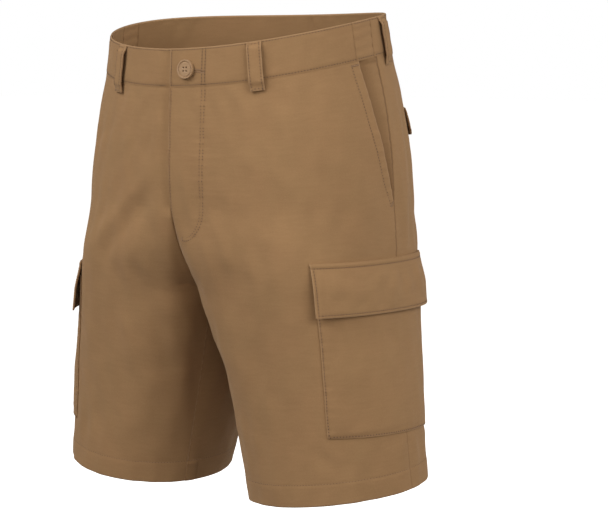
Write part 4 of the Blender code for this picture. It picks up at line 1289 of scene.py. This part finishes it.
patchCreases = (
    (1, 0.262, -0.085, 0.300, -0.020, 0.010, 0.0007, 0.004),
    (1, 0.300, -0.060, 0.345, 0.015, 0.012, -0.0008, -0.006),
    (1, 0.330, 0.060, 0.390, 0.010, 0.012, 0.0008, 0.005),
    (1, 0.350, -0.080, 0.398, -0.050, 0.009, -0.0006, 0.003),
    (-1, 0.262, -0.080, 0.304, -0.016, 0.010, 0.0007, -0.004),
    (-1, 0.305, -0.050, 0.352, 0.020, 0.012, -0.0008, 0.006),
    (-1, 0.335, 0.055, 0.392, 0.004, 0.012, 0.0008, 0.005),
)
flapWidth = cargo["width"] + 2 * cargo["overhang"]


def patchPath(inset):
    # the patch's front, bottom and back edges, moved in by inset
    depthLow = cargo["end"] - inset
    front = [(d, cargoFront(d) + inset) for d in np.linspace(cargo["top"], depthLow, 40)]
    across = np.linspace(inset / cargo["width"], 1 - inset / cargo["width"], 46)
    low = [(depthLow + cargo["drop"] * a, cargoFront(depthLow) + cargo["width"] * a) for a in across]
    lastDepth = depthLow + cargo["drop"]
    back = [(d, cargoFront(d) + cargo["width"] - inset) for d in np.linspace(lastDepth, cargo["top"], 40)]
    return np.array(front + low[1:] + back[1:]).T


def toEdge(across, width, below):
    return np.minimum(np.minimum(across, 1 - across) * width, below)


def patchOut(side, depth, along):
    across = np.clip((along - cargoFront(depth)) / cargo["width"], 0, 1)
    bottom = cargo["end"] + cargo["drop"] * across
    down = np.clip((depth - cargo["top"]) / (bottom - cargo["top"]), 0, 1)
    full = np.sin(math.pi * across) ** 0.7 * np.sin(math.pi * (0.08 + 0.92 * down))
    edge = toEdge(across, cargo["width"], bottom - depth)
    out = cargo["onCloth"] + form["wall"] + cargo["billow"] * full
    out = out - cargo["edgeDown"] * (1 - softStep(edge / 0.012))
    out = out + 0.8 * groove(np.abs(edge - cargo["stitchIn"]))
    out -= cargo["roll"] * bell(edge, 0.0008)
    soft = ridges(patchCreases, side, depth, along) + 0.7 * ripple(side, depth + 0.2, along * 1.1)
    out += ramp(edge, 0.003, 0.012) * soft
    run = np.where(across < 0.5, depth, along)
    return out + 0.9 * puckers(np.maximum(edge - cargo["stitchIn"], 0), run, side * 0.7), edge


def cargoPatch(side, word):
    width, inset = cargo["width"], cargo["stitchIn"]
    length = cargo["end"] - cargo["top"]
    acrossSteps = spacing(width, cargo["spacing"], (
        (0.0, *closeTo["patchEdge"]), (width, *closeTo["patchEdge"]), (inset, *closeTo["row"]),
        (width - inset, *closeTo["row"])))
    downSteps = spacing(length, cargo["spacing"], (
        (length, *closeTo["patchEdge"]), (length - inset, *closeTo["row"])))
    down, across = np.meshgrid(downSteps / length, acrossSteps / width, indexing="ij")
    depth = cargo["top"] + (length + cargo["drop"] * across) * down
    along = cargoFront(depth) + width * across
    out, edge = patchOut(side, depth, along)
    shade = marks(farAway, edge, np.abs(edge - inset))
    piece = clothPiece("cargo_pocket_" + word, side, place(side, depth + lowered(side), along, out),
                       laid(along * 1.01 + 0.13, depth * 0.99 - 0.21, side), form["wall"], shade,
                       cargo["bevel"])


def flapOut(side, depth, along):
    across = np.clip((along - cargoFront(depth) + cargo["overhang"]) / flapWidth, 0, 1)
    below = depth - cargo["flapTop"]
    down = np.clip(below / (cargo["flapEnd"] - cargo["flapTop"]), 0, 1)
    corner = 0.55 + 0.45 * (2 * across - 1) ** 2
    edge = toEdge(across, flapWidth, cargo["flapEnd"] - depth)
    topRow = np.abs(below - cargo["flapTopRow"])
    out = cargo["onCloth"] + form["flapWall"] + cargo["lift"] * softStep(below / cargo["step"])
    out = out + cargo["gape"] * down**1.5 * corner - 0.0007 * (1 - softStep(below / 0.004))
    out = out + 0.0004 * bell(below - 0.0028, 0.0016)
    stitched = np.where(down > 0.1, np.abs(edge - cargo["flapStitchIn"]), farAway)
    out += 0.8 * groove(stitched) + 1.3 * groove(topRow) - cargo["roll"] * bell(edge, rimSpread)
    body = ramp(edge, 0.003, 0.01) * ramp(down, 0.15, 0.2)
    out += body * 1.2 * ripple(side, depth * 1.5 + 0.4, along + 0.3)
    out += 0.7 * puckers(np.maximum(edge - cargo["flapStitchIn"], 0), along, side * 1.1)
    return out, edge, np.minimum(stitched, topRow)


def cargoFlap(side, word):
    inset = cargo["flapStitchIn"]
    length = cargo["flapEnd"] - cargo["flapTop"]
    acrossSteps = spacing(flapWidth, cargo["flapSpacing"], (
        (0.0, *closeTo["rim"]), (flapWidth, *closeTo["rim"]), (inset, *closeTo["row"]),
        (flapWidth - inset, *closeTo["row"])))
    downSteps = spacing(length, cargo["flapRowSpacing"], (
        (0.0, *closeTo["top"]), (cargo["flapTopRow"], *closeTo["topRow"]), (length, *closeTo["rim"]),
        (length - inset, *closeTo["row"])))
    down, across = np.meshgrid(downSteps / length, acrossSteps / flapWidth, indexing="ij")
    fromCorner = np.clip(1 - toEdge(across, flapWidth, farAway) / cargo["corner"], 0, 1)
    cut = cargo["corner"] * (1 - np.sqrt(1 - fromCorner * fromCorner)) * down**6
    depth = cargo["flapTop"] + length * down - cut
    along = cargoFront(depth) - cargo["overhang"] + flapWidth * across
    out, edge, stitched = flapOut(side, depth, along)
    shade = marks(depth - cargo["flapTop"] + cargo["topOff"], edge, stitched)
    piece = clothPiece("cargo_flap_" + word, side, place(side, depth + lowered(side), along, out),
                       laid(along * 0.99 + 0.47, depth - 0.1, side), form["flapWall"], shade,
                       cargo["flapBevel"])


# Seat pocket flap

# sideShade is painted shade on the flap's side edges, where its underside is in shadow
backFlap = {"start": 0.0590, "width": 0.1360, "top": 0.0940, "end": 0.1205, "gape": 0.0015,
            "clip": 0.0060, "stitchIn": 0.0030, "topRow": 0.0050, "sideShade": 0.8, "sideSpread": 0.0006}


def backFlapLow(across):
    return backFlap["end"] - backFlap["clip"] * (2 * across - 1) ** 4


def backFlapOut(side, depth, along):
    across = np.clip((along - backFlap["start"]) / backFlap["width"], 0, 1)
    low = backFlapLow(across)
    below = depth - backFlap["top"]
    down = np.clip(below / (low - backFlap["top"]), 0, 1)
    edge = toEdge(across, backFlap["width"], low - depth)
    stitched = np.where(down > 0.1, np.abs(edge - backFlap["stitchIn"]), farAway)
    topRow = np.abs(below - backFlap["topRow"])
    out = cargo["onCloth"] + form["flapWall"] + backFlap["gape"] * down**1.5
    out = out - cargo["roll"] * bell(edge, rimSpread) - 0.0006 * (1 - softStep(below / 0.004))
    out += 0.8 * groove(stitched) + groove(topRow)
    out += ramp(edge, 0.003, 0.01) * ramp(down, 0.2, 0.2) * ripple(side, depth + 0.7, along)
    return out, edge, np.minimum(stitched, topRow)


def seatFlap(side, word):
    width = backFlap["width"]
    length = backFlap["end"] - backFlap["top"]
    rim = closeTo["rim"]
    acrossSteps = spacing(width, cargo["flapSpacing"], ((0.0, *rim), (width, *rim)))
    downSteps = spacing(length, cargo["flapRowSpacing"], ((0.0, *closeTo["top"]), (length, *rim)))
    down, across = np.meshgrid(downSteps / length, acrossSteps / width, indexing="ij")
    depth = backFlap["top"] + (backFlapLow(across) - backFlap["top"]) * down
    along = backFlap["start"] + width * across
    out, edge, stitched = backFlapOut(side, depth, along)
    shade = marks(depth - backFlap["top"] + cargo["topOff"], edge + 0.001, stitched)
    # painted shade on the side edges, where the flap's underside is in shadow
    deepen(shade, backFlap["sideShade"] * bell(toEdge(across, width, farAway), backFlap["sideSpread"]))
    piece = clothPiece("back_flap_" + word, side, place(side, depth, along, out),
                       laid(along + 0.81, depth - 0.15, side), form["flapWall"], shade, cargo["flapBevel"])


for side, word in sideWords.items():
    cargoPatch(side, word)
    cargoFlap(side, word)
    seatFlap(side, word)
print("pockets and flaps ready")


# Stitching: one small stitch, copied along every sewn line

stitch = {"pitch": 0.0031, "length": 0.0020, "breadth": 0.00046, "sunk": 0.00012, "bow": 0.35, "flat": 0.8,
          "hole": 0.00110, "holeDeep": 0.00030, "holeOut": 0.00020, "hemHole": 0.6, "samples": 1200,
          "step": 0.0006, "aheadStep": 0.0008, "tackBreadth": 0.0022, "tackPitch": 0.00042,
          "tackLift": 0.00012}


def beadShape(segments, rings):
    # a small round body lying along x, as points and faces
    bpy.ops.mesh.primitive_uv_sphere_add(segments=segments, ring_count=rings, radius=0.5)
    seed = bpy.context.object
    seed.rotation_euler = (0, math.pi / 2, 0)
    bpy.ops.object.transform_apply(location=False, rotation=True, scale=False)
    points = np.array([list(vert.co) for vert in seed.data.vertices])
    faces = sorted(list(face.vertices) for face in seed.data.polygons)
    bpy.data.objects.remove(seed, do_unlink=True)
    return points, faces


stitchPoints, stitchFaces = beadShape(6, 5)
holePoints, holeFaces = beadShape(6, 3)


def surfaceOf(side, outOf, lower=0.0):
    # a piece's outer face, from a place on the cloth to a point
    def surface(depth, along):
        out = outOf(side, depth, along)
        return place(side, depth + lower, along, out[0] if isinstance(out, tuple) else out)
    return surface


def unit(vectors):
    return vectors / np.linalg.norm(vectors, axis=-1, keepdims=True)


def frameOn(surface, depth, along):
    # points on a surface, and the directions off it
    step = stitch["step"]
    down = surface(depth + step, along) - surface(depth - step, along)
    across = surface(depth, along + step) - surface(depth, along - step)
    return surface(depth, along), unit(np.cross(down, across))


def stitchRun(surface, side, depths, alongs, pitch=stitch["pitch"]):
    # stitches end to end along a run: their centres, directions, normals and lengths
    fine = np.linspace(0, 1, stitch["samples"])
    depths, alongs = (np.interp(fine, np.linspace(0, 1, len(depths)), run) for run in (depths, alongs))
    points = surface(depths, alongs)
    length = runLengths(points)
    count = max(int(length[-1] / pitch), 1)
    centres = (np.arange(count) + 0.5) * length[-1] / count
    at = np.interp(centres, length, fine)
    here, off = frameOn(surface, np.interp(at, fine, depths), np.interp(at, fine, alongs))
    off *= side
    after, before = (np.stack([np.interp(centres + step, length, points[:, i]) for i in range(3)], axis=1)
                     for step in (stitch["aheadStep"], -stitch["aheadStep"]))
    ahead = after - before
    ahead = unit(ahead - (ahead * off).sum(axis=1, keepdims=True) * off)
    return here, ahead, off, np.full(count, stitch["length"] * pitch / stitch["pitch"])


def barTack(surface, side, start, end):
    # close stitches laid across a short line
    depths, alongs = (np.linspace(start[i], end[i], 20) for i in (0, 1))
    here, ahead, off, lengths = stitchRun(surface, side, depths, alongs, stitch["tackPitch"])
    lengths = np.full(len(here), stitch["tackBreadth"])
    return here + off * stitch["tackLift"], np.cross(off, ahead), off, lengths


def sew(name, runs, tacks=(), thickness=stitch["breadth"], holes=1.0):
    # all the stitches of some runs and tacks as one mesh, with a flat dark bead after each of a run's
    # stitches as the painted shade of its needle hole
    sewn = np.arange(sum(len(run[0]) for run in [*runs, *tacks])) < sum(len(run[0]) for run in runs)
    here, ahead, off, lengths = (np.concatenate([run[i] for run in [*runs, *tacks]]) for i in range(4))
    x, y, z = stitchPoints.T
    bow = (1 - (2 * np.abs(x)) ** 2) * thickness * stitch["bow"] - stitch["sunk"]
    # a stitch's ends darken with painted shade, where it dives into the cloth
    bodies = [(stitchPoints, stitchFaces, slice(None), here, lengths[:, None] * x,
               y * thickness, z * thickness * stitch["flat"] + bow, np.clip(np.abs(x) * 4 - 1, 0, 1))]
    # painted shade: a flat bead in the thread's darkest colour over each needle hole
    if holes:
        x, y, z = holePoints.T
        size = stitch["hole"] * holes
        spots = here[sewn] + ahead[sewn] * stitch["pitch"] / 2
        bodies.append((holePoints, holeFaces, sewn, spots, x * size, y * size,
                       z * stitch["holeDeep"] + stitch["holeOut"], np.ones(len(x))))
    points, faces, tipShades, start = [], [], [], 0
    for shape, shapeFaces, chosen, spots, along, across, up, tipShade in bodies:
        sideways = np.cross(off, ahead)[chosen]
        along, across, up = (np.broadcast_to(value, (len(spots), len(shape)))[..., None]
                             for value in (along, across, up))
        made = (spots[:, None, :] + along * ahead[chosen][:, None, :]
                + across * sideways[:, None, :] + up * off[chosen][:, None, :])
        points.append(made.reshape(-1, 3))
        tipShades.append(np.tile(tipShade, len(spots)))
        faces += [[index + start + len(shape) * i for index in face]
                  for i in range(len(spots)) for face in shapeFaces]
        start += len(spots) * len(shape)
    mesh = bpy.data.meshes.new(name)
    mesh.from_pydata(np.concatenate(points).tolist(), [], faces)
    mesh.attributes.new("tipShade", "FLOAT", "POINT").data.foreach_set("value", np.concatenate(tipShades))
    mesh.shade_smooth()
    mesh.materials.append(threadMaterial)
    piece = bpy.data.objects.new(name, mesh)
    bpy.context.scene.collection.objects.link(piece)
    dress(piece)


def sewFront(side, word):
    front = surfaceOf(side, frontOut)
    back = surfaceOf(side, backOut)
    depths, alongs = frontStitches[side][0]
    topEnd = depths[0] + pocket["barDown"]
    atMouth = mouth(pocket["barMouthAt"]) - pocket["barOff"]
    tacks = [barTack(front, side, (topEnd, alongs[0] - pocket["barDown"]), (topEnd, atMouth)),
             barTack(front, side, (depths[-1], alongs[-1]),
                     (depths[-1] - pocket["barRise"], -pocket["barOff"]))]
    if side > 0:
        depths, off = jRow(0.0)
        bottom = alongFromMiddle(depths[-1], off[-1]) - fly["barIn"]
        middle = -float(reach(fly["barAt"], -1))
        tacks.append(barTack(front, side, *((depth, middle + out) for depth, out in fly["bar"])))
        tacks.append(barTack(front, side, (depths[-1], bottom), (depths[-1] - fly["barRise"], bottom)))
    sew("front_stitching_" + word, [stitchRun(front, side, *row) for row in frontStitches[side]], tacks)
    runs = [stitchRun(front, side, *hemRow(-1)), stitchRun(back, side, *hemRow(1))]
    sew("hem_stitching_" + word, runs, holes=stitch["hemHole"])


def sewBand(side, word):
    strip = surfaceOf(side, bandOut)
    runs = []
    frontEnd = -reach(band["lowRow"], -1) + band["rowStart" if side > 0 else "rowStartUnder"]
    backEnd = float(reach(band["lowRow"], 1))
    insertFront, insertBack = band["insertFront"], band["insertBack"]
    off = band["rowOff"]
    spans = ((frontEnd, insertFront - off), (insertFront + off, insertBack - off),
             (insertBack + off, backEnd - band["rowEnd"]))
    for depth in (band["topRow"], band["lowRow"]):
        for start, end in spans:
            runs.append(stitchRun(strip, side, np.full(60, depth), np.linspace(start, end, 60)))
    if side > 0:
        depths = np.linspace(band["topRow"], band["lowRow"], 30)
        for off in (*band["middleRows"], band["stitchEdge"]):
            runs.append(stitchRun(strip, side, depths, off - reach(depths, -1)))
    sew("waistband_stitching_" + word, runs)


def sewCargo(side, word):
    patch, flap = (surfaceOf(side, outOf, lowered(side)) for outOf in (patchOut, flapOut))
    inset = cargo["flapStitchIn"]
    top = cargo["flapTop"] + cargo["flapTopRow"]
    low = cargo["flapEnd"] - inset
    width = flapWidth - 2 * inset
    share = np.linspace(0, 1, 40)
    down = np.linspace(top, low - 0.001, 16)
    start = cargoFront(down) - cargo["overhang"] + inset
    lowRow = cargoFront(low) - cargo["overhang"] + inset + 0.001 + (width - 0.002) * share
    topRow = cargoFront(top) - cargo["overhang"] + 0.001 + (flapWidth - 0.002) * share
    sew("cargo_stitching_" + word, [
        stitchRun(patch, side, *patchPath(cargo["stitchIn"])),
        stitchRun(flap, side, np.concatenate([down, np.full(40, low), down[::-1]]),
                  np.concatenate([start, lowRow, (start + width)[::-1]])),
        stitchRun(flap, side, np.full(40, top), topRow)])


def sewSeat(side, word):
    seat = surfaceOf(side, backFlapOut)
    width = backFlap["width"]
    inset = backFlap["stitchIn"]
    span = np.linspace(inset / width, 1 - inset / width, 50)
    low = backFlapLow(span) - inset
    top = backFlap["top"] + backFlap["topRow"]
    down = np.linspace(top, low[0], 12)
    across = np.concatenate([np.full(12, span[0]), span[1:-1], np.full(12, span[-1])])
    sew("back_flap_stitching_" + word, [
        stitchRun(seat, side, np.concatenate([down, low[1:-1], down[::-1]]),
                  backFlap["start"] + width * across),
        stitchRun(seat, side, np.full(40, top), backFlap["start"] + np.linspace(0.001, width - 0.001, 40))])


def sewLoops(side, word):
    runs = []
    length = loops["end"] - loops["top"]
    edge = loops["width"] / 2 - loops["edgeStitch"]
    for share in loops[word].values():
        surface = loopSurface(side, share)

        def onLoop(depth, along, surface=surface):
            return surface(np.clip(depth / length, 0, 1), along)
        for across in (-edge, edge):
            runs.append(stitchRun(onLoop, side, np.linspace(0.001, length - 0.001, 40),
                                  np.full(40, across)))
        for depth in (loops["tackIn"], length - loops["tackIn"]):
            runs.append(stitchRun(onLoop, side, np.full(12, depth),
                                  np.linspace(-loops["tackHalf"], loops["tackHalf"], 12)))
    sew("belt_loop_stitching_" + word, runs)


for side, word in sideWords.items():
    for sewPart in (sewFront, sewBand, sewCargo, sewSeat, sewLoops):
        sewPart(side, word)
print("stitching ready")


# Button and its hole

def makeButton():
    # the finished button, and the stitches through its holes
    along = button["fromMiddle"] - float(reach(button["depth"], -1))
    point, off = frameOn(surfaceOf(1, bandOut), np.array([button["depth"]]), np.array([along]))
    off = Vector(off[0])
    centre = Vector(point[0]) + off * button["standOff"]
    turn = off.to_track_quat("Z", "Y").to_matrix().to_4x4()

    bpy.ops.mesh.primitive_cylinder_add(vertices=button["sides"], radius=button["radius"],
                                        depth=button["thick"], location=(0, 0, button["thick"] / 2))
    piece = bpy.context.object
    piece.name = piece.data.name = "waist_button_horn"
    bpy.ops.object.transform_apply(location=True, rotation=False, scale=False)
    bpy.ops.object.mode_set(mode="EDIT")
    bpy.ops.mesh.select_all(action="DESELECT")
    bpy.ops.object.mode_set(mode="OBJECT")
    for face in piece.data.polygons:
        face.select = face.normal.z > 0.9
    bpy.ops.object.mode_set(mode="EDIT")
    for inward, sunk in ((button["rim"], 0), (button["ring"], button["ringDeep"]), (button["ring"], 0),
                         (button["ring"], button["dish"] - button["ringDeep"]), (button["middle"], 0)):
        bpy.ops.mesh.inset(thickness=inward, depth=-sunk)
    bpy.ops.object.mode_set(mode="OBJECT")
    for i in range(4):
        angle = math.radians(45 + 90 * i)
        bpy.ops.mesh.primitive_cylinder_add(
            vertices=button["holeSides"], radius=button["hole"], depth=button["thick"] * 3,
            location=(button["holesOut"] * math.cos(angle), button["holesOut"] * math.sin(angle), 0))
        cutter = bpy.context.object
        cut = piece.modifiers.new("hole", "BOOLEAN")
        cut.operation = "DIFFERENCE"
        cut.object = cutter
        applyAll(piece)
        bpy.data.objects.remove(cutter, do_unlink=True)
    bevelEdges(piece, button["bevel"], math.radians(50))
    applyAll(piece)
    piece.data.transform(Matrix.Translation(centre) @ turn)
    piece.data.materials.clear()
    piece.data.materials.append(finishes["button"])
    selectOnly(piece)
    bpy.ops.object.shade_smooth_by_angle(angle=math.radians(35))
    dress(piece, "waist_button", slot="button")

    level = centre + off * (button["thick"] - button["dish"] - button["threadSunk"])
    right, up = (turn.to_3x3() @ Vector(axis) for axis in ((1, 0, 0), (0, 1, 0)))
    spots = np.array([level + right * (across * button["holesOut"] * 0.707) for across in (-1, 1)])
    return spots, np.array([up, up]), np.array([off, off]), np.full(2, button["holesOut"] * 1.41 - 0.0008)


def makeButtonhole():
    # a slit worked over with close stitches, from under the button to the side
    surface = surfaceOf(1, bandOut)
    middle = float(reach(button["depth"], -1))
    half = button["slitHalf"]
    start = button["fromMiddle"] + button["slitStart"]
    straight = button["fromMiddle"] + button["slitEnd"] - start
    halfway = straight + math.pi * half
    turn = 2 * halfway * np.linspace(0, 1, button["slitStitches"], endpoint=False)
    way = np.where(turn < halfway, 1, -1)      # along one side and round its end, then along the other
    run = turn % halfway
    angle = np.maximum(run - straight, 0) / half - math.pi / 2
    across, ahead = way * np.sin(angle), way * np.cos(angle)
    off = start + straight / 2 + way * (np.minimum(run, straight) - straight / 2) + half * ahead
    depths = button["depth"] + half * across + button["slitDrop"] * (off - button["fromMiddle"])
    here, normal = frameOn(surface, depths, off - middle)
    reachOut = button["slitReach"]
    outward = unit(surface(depths + across * reachOut, off + ahead * reachOut - middle) - here)
    return here, outward, normal, np.full(len(here), button["slitStitch"])


sew("button_thread", [], [makeButton(), makeButtonhole()], button["thread"], 0)
print("button ready")


# Stage: pale floor, soft light and the camera

stage = {"floor": -0.70, "floorSize": 60.0, "floorRough": 0.95, "floorGlow": 0.92,
         "world": 0.155, "warmth": (1.0, 0.84, 0.66, 1), "aim": (0, 0, -0.2)}
lights = (
    # name, place, size, power
    ("key", (-0.6, -1.9, 1.5), 1.8, 54.0),
    ("front", (1.9, -2.0, 0.1), 1.4, 7.0),
    ("side", (2.0, -0.3, 0.7), 1.5, 23.0),
    ("rim", (1.2, 1.7, 0.8), 1.4, 11.0),
)


def makeWorld():
    # a white room, with a dimmer and warmer glow on the cloth
    world = bpy.data.worlds.new("studio")
    world.use_nodes = True
    tree = world.node_tree
    white = tree.nodes["Background"]
    white.inputs["Color"].default_value = (1, 1, 1, 1)
    glow = tree.nodes.new("ShaderNodeBackground")
    glow.inputs["Color"].default_value = stage["warmth"]
    glow.inputs["Strength"].default_value = stage["world"]
    rays = tree.nodes.new("ShaderNodeLightPath")
    either = tree.nodes.new("ShaderNodeMixShader")
    tree.links.new(rays.outputs["Is Camera Ray"], either.inputs["Fac"])
    tree.links.new(glow.outputs[0], either.inputs[1])
    tree.links.new(white.outputs[0], either.inputs[2])
    tree.links.new(either.outputs[0], tree.nodes["World Output"].inputs["Surface"])
    bpy.context.scene.world = world


def makeStage():
    bpy.ops.mesh.primitive_plane_add(size=stage["floorSize"], location=(0, 0, stage["floor"]))
    floor = bpy.context.object
    floor.name = "floor"
    floor.visible_diffuse = False
    made = bpy.data.materials.new("paleFloor")
    made.use_nodes = True
    shader = made.node_tree.nodes["Principled BSDF"]
    shader.inputs["Base Color"].default_value = (1.0, 1.0, 1.0, 1)
    shader.inputs["Roughness"].default_value = stage["floorRough"]
    shader.inputs["Emission Color"].default_value = (1, 1, 1, 1)
    shader.inputs["Emission Strength"].default_value = stage["floorGlow"]
    floor.data.materials.append(made)
    for name, place, size, power in lights:
        bpy.ops.object.light_add(type="AREA", location=place)
        light = bpy.context.object
        light.name = name
        light.data.shape = "SQUARE"
        light.data.size = size
        light.data.energy = power
        aim = Vector(stage["aim"]) - Vector(place)
        light.rotation_euler = aim.to_track_quat("-Z", "Y").to_euler()


camera = {"azimuth": 40.33, "yaw": -1.7, "pitch": -5.6, "distance": 2.063, "height": -0.0375,
          "focal": 1937.0, "imageWidth": 608, "sensor": 36.0}


def makeCamera():
    azimuth = math.radians(camera["azimuth"])
    heading = math.radians(camera["azimuth"] + camera["yaw"])
    pitch = math.radians(camera["pitch"])
    data = bpy.data.cameras.new("camera")
    data.sensor_width = camera["sensor"]
    data.lens = camera["focal"] / camera["imageWidth"] * camera["sensor"]
    made = bpy.data.objects.new("camera", data)
    bpy.context.scene.collection.objects.link(made)
    made.location = (camera["distance"] * math.sin(azimuth), -camera["distance"] * math.cos(azimuth),
                     camera["height"])
    forward = Vector((-math.sin(heading) * math.cos(pitch), math.cos(heading) * math.cos(pitch),
                      math.sin(pitch)))
    made.rotation_euler = forward.to_track_quat("-Z", "Y").to_euler()
    bpy.context.scene.camera = made


makeWorld()
makeStage()
makeCamera()
bpy.context.scene.view_settings.view_transform = "Standard"
print("stage ready")
